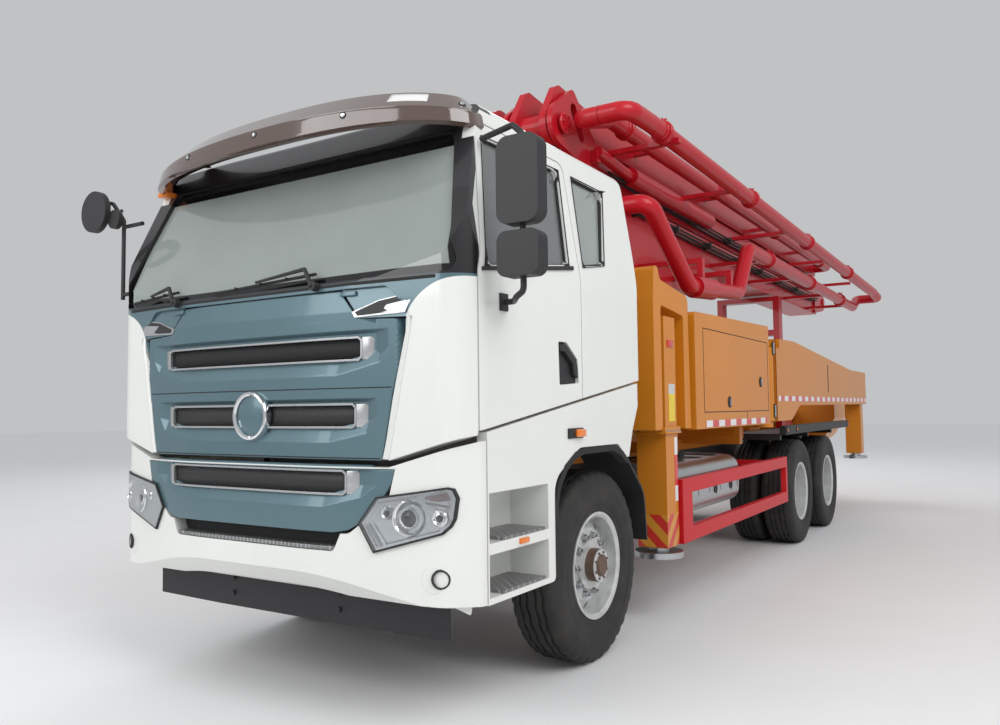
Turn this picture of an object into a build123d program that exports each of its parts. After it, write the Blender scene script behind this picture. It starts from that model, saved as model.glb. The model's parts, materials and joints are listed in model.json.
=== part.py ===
"""Truck-mounted concrete pump with a five-section folding boom.

Millimetres.  +X points forward, +Y to the truck's left, +Z up.  The ground is Z = 0
and the origin lies on it, under the middle of the stowed machine.
"""
import os
from math import cos, hypot, radians, sin, tan

from build123d import *

# ------------------------------------------------------------------ driving dimensions

# Running gear
FRONT_AXLE_X = 4650
WHEELBASE = 4810            # front axle to first rear axle
BOGIE = 1400                # first to second rear axle
TYRE_R = 542
TYRE_W = 300
RIM_R = 302                 # rim flange
SEAT_R = 286                # bead seat
FRONT_WHEEL_Y = 1015
TWIN_OUTER_Y = 1080
TWIN_INNER_Y = 740
KINGPIN_Y = 830
KINGPIN_R = 24
AXLE_DROP = 60              # front beam below the wheel centres
REAR_AXLES_X = (FRONT_AXLE_X - WHEELBASE, FRONT_AXLE_X - WHEELBASE - BOGIE)

# Ladder frame and the pump's frame on it
RAIL_Y = 430                # outside of a rail's web
RAIL_T = 10
RAIL_FLANGE = 80
RAIL_Z = (740, 1030)
RAIL_X = (-4250, 5980)
SUB_Z = (1030, 1130)
SUB_X = (-4250, 3950)
CROSS_X = (-4150, -3050, -2000, -860, 240, 1340, 2440, 3300, 4100, 5000, 5850)
SPRING_Y = 400
SPRING_W = 90

# Width of the machine
HALF_W = 1250
MIRROR_REACH = 205          # left mirror arm beyond the side of the cab
FOLDED_REACH = 70           # right mirrors, folded back along their door
GAP = 6                     # panel gap
RUN = 1                     # running clearance of a pin in its bore
SEAT = 0.3                  # joint between pieces that rest on each other

# Cab
CAB_REAR_X = 4200
CAB_FRONT_X = 6172
CAB_LOW_Z = 1216            # front lower edge of the tilting cab
CAB_ROOF_Z = 2945
LOW_HALF = 850              # half width of the level part of the lower front edge
CORNER_Z = 1330             # lower edge at the cab's front corners
CAB_WALL = 60
CAB_FLOOR_Z = 1670
SEAM_FRONT = (5997, 1346)   # lower side edge of the cab, front and rear
SEAM_REAR = (4200, 1613)
DOOR_HINGE_X = 5990
DOOR_REAR_X = 5008
FLAP_TOP_Z = 2000
VISOR_REAR_X = 5760

# Bumper
BUMPER_LOW_Z = 590
BUMPER_TOP_Z = 1186
BUMPER_FRONT_X = 6200
BUMPER_REAR_X = 5950
FENDER_X = 5942             # front end of the step panel

# Turret and boom pivots (x, z)
SLEW_X = 2150
PEDESTAL_R = 600
RING_Z = (1620, 1700)
PIVOT_1 = (3150, 3000)      # turret to section 1
PIVOT_2 = (-6050, 3230)     # section 1 to 2
PIVOT_3 = (3450, 3635)      # section 2 to 3
PIVOT_4 = (-5850, 3800)     # section 3 to 4
PIVOT_5 = (3330, 3730)      # section 4 to 5
END_PIPE_L = 150            # straight pipe end that takes the end hose
MAIN_Y = 100                # middle plane of sections 1 to 3
SIDE_Y = -470               # middle plane of sections 4 and 5
PIPE_R = 72
BEND = 190
LUFF_FOOT = (2880, 1831)
LUFF_EYE = (2367, 2834)
LUFF_BARREL_R = 105
LUFF_ROD_R = 55

# Outriggers
LEG_X = 3610                # front legs
LEG_Y = 1110
LEG_SIZE = 210
LEG_LOW_Z = 500
PAD_R = 165
PAD_Z = (432, 470)
SLEEVE_Z = (1480, 1900)
SLEEVE_X = ((3560, 3860), (3210, 3510))   # left arm's beam, right arm's beam
SLEEVE_WALL = 14
SLEEVE_GAP = 6
ARM_PIVOT = (950, 1110)     # rear arm's pin (x, y)
ARM_PIN_R = 60
ARM_Y = (980, 1240)
REAR_LEG_X = -4130
REAR_PAD_Z = (665, 703)

# Lockers beside the turret
CABINET_X = (1105, 3165)
CABINET_Y = (1000, 1240)

ARM_LUGS = ((1240, 1290), (2010, 2060))   # z of the rear arms' lower and upper lugs

# Wheel discs
HUB_BORE_R = 85
HAND_HOLE_RING = 238
HAND_HOLE_R = 23

# Outlines on the cab: (x, z) on its sides, (y, z) on its front
DOOR_WINDOW = [(5131, 2200, 40), (5078, 2730, 50), (5822, 2712, 50), (5938, 2085, 40)]
HANDLE_WELL = [(5045, 1575, 10), (5060, 1700, 10), (5180, 1784, 10), (5270, 1784, 10), (5262, 1561, 10)]
QUARTER_WINDOW = [(4955, 2216, 40), (4915, 2735, 40), (4520, 2731, 60), (4672, 2262, 60)]
# The screen's sides stay inside the doors' upper frames
DOOR_DEPTH_Y = 1085         # the doors reach in to here
WINDSCREEN = [(-1200, 2048, 50), (1200, 2048, 50), (1036, 2752, 60), (-1036, 2752, 60)]
FLAP = [(-845, CAB_LOW_Z), (845, CAB_LOW_Z), (975, 1860, 120), (840, FLAP_TOP_Z, 60), (-840, FLAP_TOP_Z, 60),
        (-975, 1860, 120)]
SLOTS = ((691, 1679, 1773), (657, 1369, 1466))
FLAP_T = 50
FOOT_DROP = 300             # how far the forms of doors and flap run on below the cab

COLUMN = ((5720, 560, 1990), (5520, 560, 2180))   # steering column, lower and upper end
LAMP = [(711, 934, 15), (776, 819, 30), (1087, 931, 30), (1157, 1084, 15)]
CHIN = [(-640, 885, 60), (640, 885, 60), (845, 1035, 60), (880, CAB_LOW_Z - 40), (-880, CAB_LOW_Z - 40),
        (-845, 1035, 60)]
CHIN_SLOT = (618, 1064, 1161)

# Boom joints and delivery pipe
CHEEK_IN = 256              # inside of a turret cheek from the boom's middle plane
CHEEK_OUT = 300
SWIVEL_Y = 680
LUFF_BARREL_L = 1000
PIPE_1_Y = 900
PIPE_2_Y = 1230
ELBOW = 165                 # run of a pipe along a pivot line
FACE_GAP = 4                # between the two halves of a swivel

PARTS = {}


# ------------------------------------------------------------------ small helpers

def outline(points):
    """Face on the drawing plane from (u, v) corners; a third value rounds a corner."""
    if not isinstance(points, (list, tuple)):
        return points
    corners = [point[:2] for point in points]
    radii = [point[2] if len(point) > 2 else 0 for point in points]
    if any(radii):
        return make_face(FilletPolyline(*corners, radius=radii, close=True))
    return make_face(Polyline(*corners, close=True))


def hull(*circles):
    """Face on the drawing plane, drawn tight round circles given as (u, v, radius)."""
    edges = [edge for u, v, radius in circles for edge in (Pos(u, v) * Circle(radius)).edges()]
    return make_hull(edges)


def inset_corners(points, amount):
    """The same closed outline with every side moved in by amount (out if negative)."""
    area = sum(a[0] * b[1] - b[0] * a[1] for a, b in zip(points, points[1:] + points[:1]))
    turn = amount if area > 0 else -amount
    moved = []
    for before, here, after in zip(points[-1:] + points[:-1], points, points[1:] + points[:1]):
        sides = []
        for start, end in ((before, here), (here, after)):
            length = hypot(end[0] - start[0], end[1] - start[1])
            sides.append((-(end[1] - start[1]) / length, (end[0] - start[0]) / length))
        (ax, ay), (bx, by) = sides
        share = turn / (1 + ax * bx + ay * by)
        radius = here[2] if len(here) > 2 else 0
        convex = (ax * by - ay * bx) * area > 0
        radius = max(radius - amount if convex else radius + amount, 0) if radius else 0
        moved.append((here[0] + share * (ax + bx), here[1] + share * (ay + by), radius))
    return moved


def along_x(points, x0, x1):
    """Outline of (y, z) corners, filled from x0 to x1."""
    return extrude(Plane.YZ.offset(x0) * outline(points), x1 - x0)


def along_y(points, y0, y1):
    """Outline of (x, z) corners, filled from y0 to y1."""
    return extrude(Plane.XZ.offset(-y1) * outline(points), y1 - y0)


def along_z(points, z0, z1):
    """Outline of (x, y) corners, filled from z0 to z1."""
    return extrude(Plane.XY.offset(z0) * outline(points), z1 - z0)


def block(x0, x1, y0, y1, z0, z1):
    return Pos((x0 + x1) / 2, (y0 + y1) / 2, (z0 + z1) / 2) * Box(x1 - x0, y1 - y0, z1 - z0)


def bar(start, end, radius):
    """Round bar between two points."""
    start, end = Vector(*start), Vector(*end)
    base = Plane(origin=start, z_dir=end - start)
    return base * Cylinder(radius, (end - start).length, align=(Align.CENTER, Align.CENTER, Align.MIN))


def pin_y(place, radius, y0, y1):
    """Round bar along Y at an (x, z) place."""
    return bar((place[0], y0, place[1]), (place[0], y1, place[1]), radius)


def pipe(points, radius, bend=BEND):
    """Round pipe along straight runs joined by arcs as large as bend and the runs allow."""
    bends = []
    for before, here, after in zip(points, points[1:], points[2:]):
        first, second = Vector(*here) - Vector(*before), Vector(*after) - Vector(*here)
        turn = radians(first.get_angle(second))
        bends.append(min(bend, 0.48 * min(first.length, second.length) / tan(turn / 2)))
    path = FilletPolyline(*points, radius=bends)
    return sweep(Plane(origin=path @ 0, z_dir=path % 0) * Circle(radius), path)


def turned(profile, centre):
    """Ring about the Y axis through centre, from (radius, y) corners."""
    face = Plane.XY * outline(profile)
    return Pos(*centre) * revolve(face, Axis.Y, 360)


def across(shape):
    """The same piece on the truck's other side."""
    return mirror(shape, about=Plane.XZ)


def both(shape):
    return shape + across(shape)


def pair(name, shape):
    """File a left piece and its mirror image on the right."""
    PARTS[name + "_left"] = shape
    PARTS[name + "_right"] = across(shape)


def seam_z(x):
    """Height of the cab's lower side edge."""
    (x0, z0), (x1, z1) = SEAM_REAR, SEAM_FRONT
    return z0 + (x - x0) * (z1 - z0) / (x1 - x0)


# ------------------------------------------------------------------ frame and axles

def chassis_frame():
    """Two channel rails, open towards each other, with cross members."""
    low, high = RAIL_Z
    inner = RAIL_Y - RAIL_T
    channel = [(RAIL_Y, low), (RAIL_Y, high), (RAIL_Y - RAIL_FLANGE, high),
               (RAIL_Y - RAIL_FLANGE, high - RAIL_T), (inner, high - RAIL_T),
               (inner, low + RAIL_T), (RAIL_Y - RAIL_FLANGE, low + RAIL_T), (RAIL_Y - RAIL_FLANGE, low)]
    frame = both(along_x(channel, *RAIL_X))
    frame += both(block(4230, 4300, 350, RAIL_Y, RAIL_Z[1], seam_z(4300) - SEAT))
    for x in CROSS_X:
        frame += block(x - 60, x + 60, -inner, inner, low + RAIL_T, low + 130)
    return frame


def beam_box(y0, y1, x0, x1, z0, z1, wall=12):
    """Rectangular tube along X."""
    return block(x0, x1, y0, y1, z0, z1) - block(x0, x1, y0 + wall, y1 - wall, z0 + wall, z1 - wall)


def subframe():
    """Pump frame: long beams, outrigger sleeves, pedestal, pivot posts, boom rest."""
    low, high = SUB_Z
    frame = both(beam_box(RAIL_Y - RAIL_FLANGE, RAIL_Y, *SUB_X, low, high))
    for x in (-4150, -3250, -2300, -1350, -400, 2900):
        frame += block(x - 50, x + 50, -350, 350, low, high)
    # pedestal under the slewing ring
    frame += Pos(SLEW_X, 0, 0) * Cylinder(PEDESTAL_R, RING_Z[0] - low, align=(Align.CENTER, Align.CENTER,
            Align.MIN)
                                          ).moved(Location((0, 0, low)))
    # sleeves of the two sliding front arms, stood on the long beams
    x_low, x_high = SLEEVE_X[1][0], SLEEVE_X[0][1]
    reach = SLEEVE_GAP + SLEEVE_WALL
    carrier = block(x_low - reach, x_high + reach, -995, 995, SLEEVE_Z[0] - reach, SLEEVE_Z[1] + reach)
    for x0, x1 in SLEEVE_X:
        carrier -= block(x0 - SLEEVE_GAP, x1 + SLEEVE_GAP, -995, 995,
                         SLEEVE_Z[0] - SLEEVE_GAP, SLEEVE_Z[1] + SLEEVE_GAP)
    frame += carrier
    for x in (x_low + 60, x_high - 60):
        frame += block(x - 50, x + 50, -RAIL_Y, RAIL_Y, high, SLEEVE_Z[0] - reach)
    # pivot beam of the rear arms with an upper and a lower lug each side
    px, py = ARM_PIVOT
    frame += block(px - 130, px + 80, -900, 900, high, 1330)
    frame += block(px - 130, px + 80, -900, 900, 1900, 2010)
    for side in (1, -1):
        frame += block(px - 130, px + 80, side * 870 - 30, side * 870 + 30, 1330, 1900)
        for z0, z1 in ARM_LUGS:
            lug = Pos(px, side * py, z0) * Cylinder(110, z1 - z0, align=(Align.CENTER, Align.CENTER,
                    Align.MIN))
            lug += block(px - 110, px + 80, min(side * 860, side * py), max(side * 860, side * py), z0, z1)
            frame += lug
        frame += bar((px, side * py, ARM_LUGS[0][0]), (px, side * py, ARM_LUGS[1][1]), ARM_PIN_R)
    frame += block(px - 130, px + 80, -900, 900, ARM_LUGS[0][0], ARM_LUGS[0][1])
    # cabinet brackets
    for x in (1250, 2950):
        frame += both(block(x - 40, x + 40, RAIL_Y, CABINET_Y[0], high - 40, high + 40))
        frame += both(block(x - 40, x + 40, RAIL_Y - 80, RAIL_Y, high, high + 40))
        frame += both(block(x - 40, x + 40, CABINET_Y[0] - 60, CABINET_Y[0], high + 40, 1900))
    return frame


def boom_rest():
    """Post that the stowed boom lies over, forked at its top."""
    x = -2750
    post = both(along_x([(350, SUB_Z[1]), (430, SUB_Z[1]), (430, 2700), (350, 2700)], x - 90, x + 90))
    post += block(x - 90, x + 90, -350, 350, 2420, 2500)
    post += both(block(x - 90, x + 90, 350, 430, 2700, 2900))
    post += block(x - 90, x + 90, -430, 430, 2900, 2965)
    post += both(along_y([(x - 90, SUB_Z[1]), (x - 700, SUB_Z[1]), (x - 620, SUB_Z[1] + 40), (x - 90,
            2100)], 360, 400))
    return post


def axles():
    """Front beam with its springs, and two driven rear axles with theirs."""
    z = TYRE_R - AXLE_DROP
    low = RAIL_Z[0]
    beam = along_x([(-KINGPIN_Y + 70, z - 10), (-620, z - 70), (-330, z - 130), (330, z - 130), (620, z - 70),
                    (KINGPIN_Y - 70, z - 10), (KINGPIN_Y - 70, z + 90), (560, z + 30), (300, z - 40),
                    (-300, z - 40), (-560, z + 30), (-KINGPIN_Y + 70, z + 90)],
                   FRONT_AXLE_X - 50, FRONT_AXLE_X + 50)
    for side in (1, -1):
        beam += bar((FRONT_AXLE_X, side * KINGPIN_Y, TYRE_R - 75), (FRONT_AXLE_X, side * KINGPIN_Y,
                                                                    TYRE_R + 55), 48)
        beam += block(FRONT_AXLE_X - 50, FRONT_AXLE_X + 50, *sorted((side * (KINGPIN_Y - 75),
                                                                     side * KINGPIN_Y)),
                      TYRE_R - 75, TYRE_R + 45)
        beam += bar((FRONT_AXLE_X, side * KINGPIN_Y, TYRE_R - 115), (FRONT_AXLE_X, side * KINGPIN_Y,
                                                                     TYRE_R + 95),
                    KINGPIN_R)
        beam += leaf_pack(FRONT_AXLE_X, side, 780, z + 10, low)
    for x in REAR_AXLES_X:
        housing = bar((x, -TWIN_INNER_Y - 240, TYRE_R), (x, TWIN_INNER_Y + 240, TYRE_R), 58)
        housing += Pos(x, 0, TYRE_R) * Sphere(205)
        housing += bar((x, 0, TYRE_R), (x + 330, 0, TYRE_R + 60), 60)
        beam += housing
        for side in (1, -1):
            y0, y1 = sorted((side * (SPRING_Y - 45), side * (SPRING_Y + 45)))
            beam += block(x - 60, x + 60, y0, y1, TYRE_R - 60, TYRE_R + 90)
    middle = sum(REAR_AXLES_X) / 2
    for side in (1, -1):
        y0, y1 = sorted((side * (SPRING_Y - 45), side * (SPRING_Y + 45)))
        beam += along_y([(REAR_AXLES_X[1] - 160, TYRE_R + 90), (REAR_AXLES_X[0] + 160, TYRE_R + 90),
                         (REAR_AXLES_X[0] + 160, TYRE_R + 115), (middle + 160, low - 15), (middle + 160, low),
                         (middle - 160, low), (middle - 160, low - 15), (REAR_AXLES_X[1] - 160,
                                 TYRE_R + 115)], y0, y1)
    return beam


def leaf_pack(x, side, half, z, top):
    """Leaf spring on an axle, hung from the rail by a hanger at each end."""
    y0, y1 = sorted((side * (SPRING_Y - SPRING_W / 2), side * (SPRING_Y + SPRING_W / 2)))
    spring = along_y([(x - half, z + 130), (x - 300, z + 20), (x - 90, z - 40), (x + 90, z - 40),
                      (x + 300, z + 20),
                      (x + half, z + 130), (x + half, z + 160), (x + 300, z + 80), (x + 90, z + 60),
                      (x - 90, z + 60), (x - 300, z + 80), (x - half, z + 160)], y0, y1)
    for end in (-1, 1):
        spring += along_y([(x + end * half - 45, z + 110), (x + end * half + 45, z + 110),
                           (x + end * half + 70, top), (x + end * half - 70, top)], y0, y1)
    return spring


def engine():
    """Engine and gearbox as one plain mass, with its mounts on the rails."""
    mounts = both(block(4850, 4980, 330, RAIL_Y - RAIL_T - SEAT, 900, 990))
    return mounts + block(4420, 5560, -330, 330, 880, 1540) + block(3480, 4420, -220, 220, 880, 1025) + block(
        5620, 5700, -400, 400, 1050, 1580) + block(5560, 5620, -60, 60, 1200, 1300)


def knuckle():
    """Left steering knuckle: two ears round the kingpin, and a spindle."""
    y = KINGPIN_Y
    body = Pos(FRONT_AXLE_X, y, 0) * Cylinder(55, 40, align=(Align.CENTER, Align.CENTER, Align.MIN)
                                              ).moved(Location((0, 0, TYRE_R - 75 - 45)))
    body += Pos(FRONT_AXLE_X, y, 0) * Cylinder(55, 40, align=(Align.CENTER, Align.CENTER, Align.MIN)
                                               ).moved(Location((0, 0, TYRE_R + 60)))
    inner, outer = y + 55, y + 95
    body += block(FRONT_AXLE_X - 55, FRONT_AXLE_X + 55, inner, outer, TYRE_R - 120, TYRE_R + 100)
    body += block(FRONT_AXLE_X - 45, FRONT_AXLE_X + 45, y, inner, TYRE_R - 120, TYRE_R - 80)
    body += block(FRONT_AXLE_X - 45, FRONT_AXLE_X + 45, y, inner, TYRE_R + 60, TYRE_R + 100)
    body -= bar((FRONT_AXLE_X, y, 0), (FRONT_AXLE_X, y, 2 * TYRE_R), KINGPIN_R + RUN)
    body += bar((FRONT_AXLE_X, outer, TYRE_R), (FRONT_AXLE_X, FRONT_WHEEL_Y + 60, TYRE_R), 38)
    return body


def tyre(y):
    """Tyre section: bead, sidewall, shoulder, crown."""
    half = TYRE_W / 2
    return [(SEAT_R, y - half + 32), (SEAT_R + 34, y - half + 12), (TYRE_R - 130, y - half, 60),
            (TYRE_R - 18, y - half + 16, 16), (TYRE_R, y - half + 46), (TYRE_R, y + half - 46),
            (TYRE_R - 18, y + half - 16, 16), (TYRE_R - 130, y + half, 60), (SEAT_R + 34, y + half - 12),
            (SEAT_R, y + half - 32)]


def rim(y, dish):
    """Rim barrel with flanges, and a disc whose nave lies at dish outwards of the middle."""
    half = TYRE_W / 2 - 22
    barrel = [(RIM_R, y - half - 8), (RIM_R, y - half), (SEAT_R, y - half + 6), (SEAT_R, y + half - 6),
              (RIM_R, y + half), (RIM_R, y + half + 8), (RIM_R - 14, y + half + 8), (SEAT_R - 14,
                      y + half - 4),
              (SEAT_R - 14, y - half + 4), (RIM_R - 14, y - half - 8)]
    nave = y + dish
    web = y + dish * 0.4
    disc = [(HUB_BORE_R, nave - 7), (205, nave - 7), (SEAT_R - 10, web - 9), (SEAT_R - 10, web + 9),
            (205, nave + 7), (HUB_BORE_R, nave + 7)]
    return barrel, disc


def wheel_pieces(x, planes, dish, bore):
    """Tyres and rims on one left hub; planes lists the middle planes, the outer one first."""
    tyres, rims = None, None
    for index, y in enumerate(planes):
        ring = turned(tyre(y), (x, 0, TYRE_R))
        barrel, disc = rim(y, -dish if index else dish)
        metal = turned(barrel, (x, 0, TYRE_R)) + turned(disc, (x, 0, TYRE_R))
        tyres = ring if tyres is None else tyres + ring
        rims = metal if rims is None else rims + metal
    nave = planes[0] + dish
    if len(planes) > 1:
        hub_in, hub_out = planes[1] - dish - 60, nave + 110
    else:
        hub_in, hub_out = planes[0] - 75, nave + 95
    rims += bar((x, hub_in, TYRE_R), (x, nave + 30, TYRE_R), 140)
    rims += bar((x, nave, TYRE_R), (x, hub_out, TYRE_R), 92)
    rims -= bar((x, hub_in - 10, TYRE_R), (x, nave + 12, TYRE_R), bore)
    inner = planes[-1] - (dish if len(planes) > 1 else -dish) - 45
    for index in range(10):
        angle = radians(36 * index + 18)
        hx, hz = x + HAND_HOLE_RING * cos(angle), TYRE_R + HAND_HOLE_RING * sin(angle)
        rims -= bar((hx, min(inner, nave - 60), hz), (hx, nave + 60, hz), HAND_HOLE_R)
    return tyres, rims


def running_gear():
    """Two steered wheels and four pairs of twin wheels."""
    pair("knuckle", knuckle())
    tyres, rims = wheel_pieces(FRONT_AXLE_X, [FRONT_WHEEL_Y], 62, 38 + RUN)
    pair("front_tyre", tyres)
    pair("front_wheel", rims)
    for row, x in zip(("mid", "rear"), REAR_AXLES_X):
        tyres, rims = wheel_pieces(x, [TWIN_OUTER_Y, TWIN_INNER_Y], -90, 58 + RUN)
        pair(row + "_tyres", tyres)
        pair(row + "_wheels", rims)


# ------------------------------------------------------------------ cab

def cab_volume(inset=0, drop=0):
    """Closed outer form of the cab, shrunk by inset on every face; its foot may be let down."""
    front, rear = CAB_FRONT_X, CAB_REAR_X
    side_view = [(rear, SEAM_REAR[1] - drop), (rear, CAB_ROOF_Z - 20, 130), (5740, CAB_ROOF_Z, 90), (5862,
            2770, 30),
                 (6150, 2040, 50), (front, 1900), (front, CAB_LOW_Z - drop), (front - 160, CAB_LOW_Z - drop),
                 (SEAM_FRONT[0], SEAM_FRONT[1] - drop)]
    plan = [(rear, -HALF_W, 50), (front - 72, -HALF_W, 170), (front, -430, 3000), (front, 430, 3000),
            (front - 72, HALF_W, 170), (rear, HALF_W, 50)]
    front_view = [(-HALF_W, CORNER_Z - drop), (-LOW_HALF, CAB_LOW_Z - drop), (LOW_HALF, CAB_LOW_Z - drop),
                  (HALF_W, CORNER_Z - drop), (HALF_W, 2130, 700), (1125, 2905, 80), (520, CAB_ROOF_Z, 3000),
                  (-520, CAB_ROOF_Z, 3000), (-1125, 2905, 80), (-HALF_W, 2130, 700)]
    views = [outline(inset_corners(view, inset)) for view in (side_view, plan, front_view)]
    wide = HALF_W + 50
    volume = along_y(views[0], -wide, wide) & along_z(views[1], 1000 - drop, 3100)
    return volume & along_x(views[2], rear - 50, front + 50)


def skin(outer, inner):
    """Layer of the cab's upright faces between two depths, open below."""
    return cab_volume(outer, FOOT_DROP) - cab_volume(inner, FOOT_DROP)


def door_outline(grow=0):
    low = grow
    return [(DOOR_REAR_X - grow, seam_z(DOOR_REAR_X) - low), (DOOR_REAR_X - grow, 2785 + grow, 60),
            (5868 + grow, 2785 + grow, 60), (DOOR_HINGE_X + grow, 2050 + grow, 80),
            (DOOR_HINGE_X + grow, seam_z(DOOR_HINGE_X) - low)]


# grille slots: half width, low z, high z


def cab():
    """Tilting cab shell, its glass, doors, front flap, visor and inside."""
    whole = cab_volume()
    hollow = cab_volume(CAB_WALL) & block(CAB_REAR_X, CAB_FRONT_X, -HALF_W, HALF_W, CAB_FLOOR_Z, 3100)
    hollow -= block(6000, CAB_FRONT_X, -HALF_W, HALF_W, 1000, 2030)
    shell = whole - hollow
    shell -= block(4300, 6000, -620, 620, 1000, CAB_FLOOR_Z - 60)
    depth = cab_volume(CAB_WALL + 2, FOOT_DROP)
    door_cut = along_y(door_outline(GAP), -1400, 1400)
    door_cut += block(DOOR_REAR_X - GAP, DOOR_HINGE_X + GAP, -1400, 1400, 1000, seam_z(DOOR_HINGE_X) + 40)
    sill = HALF_W - CAB_WALL - 14
    door_cut -= block(0, 9000, -DOOR_DEPTH_Y, DOOR_DEPTH_Y, 0, 4000) + block(0, 9000, -sill, sill, 0, CAB_FLOOR_Z)
    shell -= door_cut - depth
    shell -= along_y(QUARTER_WINDOW, -1400, 1400) - block(0, 9000, -900, 900, 0, 4000)
    shell -= along_x(WINDSCREEN, 5600, 6300)
    bay = along_x(inset_corners(FLAP, -GAP), 5900, 6300) - cab_volume(FLAP_T + GAP, FOOT_DROP)
    shell -= bay
    PARTS["cab_shell"] = shell

    pane = skin(24, 32)
    glass = pane & along_x(inset_corners(WINDSCREEN, 0.3), 5600, 6300)
    for half in (block(0, 9000, 900, 1400, 0, 4000), block(0, 9000, -1400, -900, 0, 4000)):
        glass += pane & along_y(inset_corners(QUARTER_WINDOW, 0.3), -1400, 1400) & half
    PARTS["cab_glass"] = glass

    flap = skin(0, FLAP_T) & along_x(FLAP, 5900, 6300)
    for half, low, high in SLOTS:
        flap -= block(6050, 6300, -half, half, low, high)
        recess = [(-half - 30, low - 34, 20), (half + 60, low - 34, 20), (half + 30, high + 34, 20),
                  (-half - 60, high + 34, 20)]
        flap -= along_x(recess, 5900, 6300) - cab_volume(22, FOOT_DROP)
    PARTS["front_flap"] = flap

    leaf = skin(0, CAB_WALL - 4)
    door = leaf & along_y(door_outline(), DOOR_DEPTH_Y, 1400)
    door -= along_y(DOOR_WINDOW, 900, 1400)
    door -= along_y(HANDLE_WELL, 900, 1400) - cab_volume(24)
    pair("door", door)
    pair("door_glass", pane & along_y(inset_corners(DOOR_WINDOW, 0.3), 900, 1400))

    visor = visor_cap(0) - visor_cap(14)
    visor -= along_x([(-1400, 2500), (1400, 2500), (1400, 2688), (1090, 2688), (600, 2722), (0, 2746, 3000),
                      (-600, 2722), (-1090, 2688), (-1400, 2688)], 5700, 6300)
    visor -= along_y([(5700, 2500), (5935, 2500), (5935, 2700), (5890, 2800), (5700, 2800)], -1400, 1400)
    visor -= cab_volume(-0.3)
    PARTS["roof_visor"] = visor

    room = cab_volume(CAB_WALL + 2)
    inside = block(5580, 5990, -1150, 1150, CAB_FLOOR_Z, 2000) & room
    inside += block(4300, 5990, -200, 200, CAB_FLOOR_Z, CAB_FLOOR_Z + 120) & room
    for side in (1, -1):
        y0, y1 = sorted((side * 300, side * 850))
        seat = along_y([(4780, CAB_FLOOR_Z), (5200, CAB_FLOOR_Z), (5320, 1960), (5300, 2060, 30), (4860,
                2030),
                        (4760, 2560, 40), (4640, 2540, 40), (4700, 1960)], y0, y1)
        inside += seat + block(4850, 5150, *sorted((side * 200, side * 300)), CAB_FLOOR_Z, CAB_FLOOR_Z + 80)
    low, high = Vector(*COLUMN[0]), Vector(*COLUMN[1])
    inside += bar(COLUMN[0], tuple(high - (high - low).normalized() * 51), 30)
    PARTS["cab_interior"] = inside
    PARTS["steering_wheel"] = steering_wheel()
    mirrors()


def visor_cap(inset):
    """Closed form of the sun visor over the screen, shrunk by inset except behind and below."""
    side_view = [(VISOR_REAR_X, 2500), (VISOR_REAR_X, 2962), (5900, 2972, 300), (6030, 2966, 70), (6158,
            2735, 60),
                 (6158, 2500)]
    front_view = [(-1208, 2500), (1208, 2500), (1198, 2790), (1160, 2868, 60), (1000, 2915, 300), (0,
            2985, 5000),
                  (-1000, 2915, 300), (-1160, 2868, 60), (-1198, 2790)]
    plan = [(VISOR_REAR_X, -1215), (5950, -1215, 120), (6095, -1090, 160), (6158, -430, 1500), (6158, 430,
            1500),
            (6095, 1090, 160), (5950, 1215, 120), (VISOR_REAR_X, 1215)]
    cap = along_y(inset_corners(side_view, inset), -1300, 1300) & along_z(inset_corners(plan, inset),
            2400, 3100)
    cap &= along_x(inset_corners(front_view, inset), VISOR_REAR_X, 6200)
    return cap + (cap & block(0, 9000, -1300, 1300, 2500, 2600)).moved(Location((0, 0,
            -inset))) if inset else cap


def steering_wheel():
    """Rim, two spokes and hub, tilted on the column."""
    low, high = Vector(*COLUMN[0]), Vector(*COLUMN[1])
    place = Plane(origin=high, z_dir=high - low)
    wheel = Torus(215, 15) + Box(420, 40, 14) + Pos(0, 0, -20) * Cylinder(50, 60)
    return place * wheel


def mirror_head(x, y, low, high, turned=False):
    """Rounded housing of one mirror, 80 deep; turned ones lie flat along the door."""
    deep, wide, corner = 40, 105, 55 if high - low > 300 else 45
    if turned:
        return along_y([(x - wide, low, corner), (x + wide, low, corner), (x + wide, high, corner),
                        (x - wide, high, corner)], y - deep / 2, y + deep / 2)
    return along_x([(y - wide, low, corner), (y + wide, low, corner), (y + wide, high, corner),
                    (y - wide, high, corner)], x - deep, x + deep)


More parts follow.
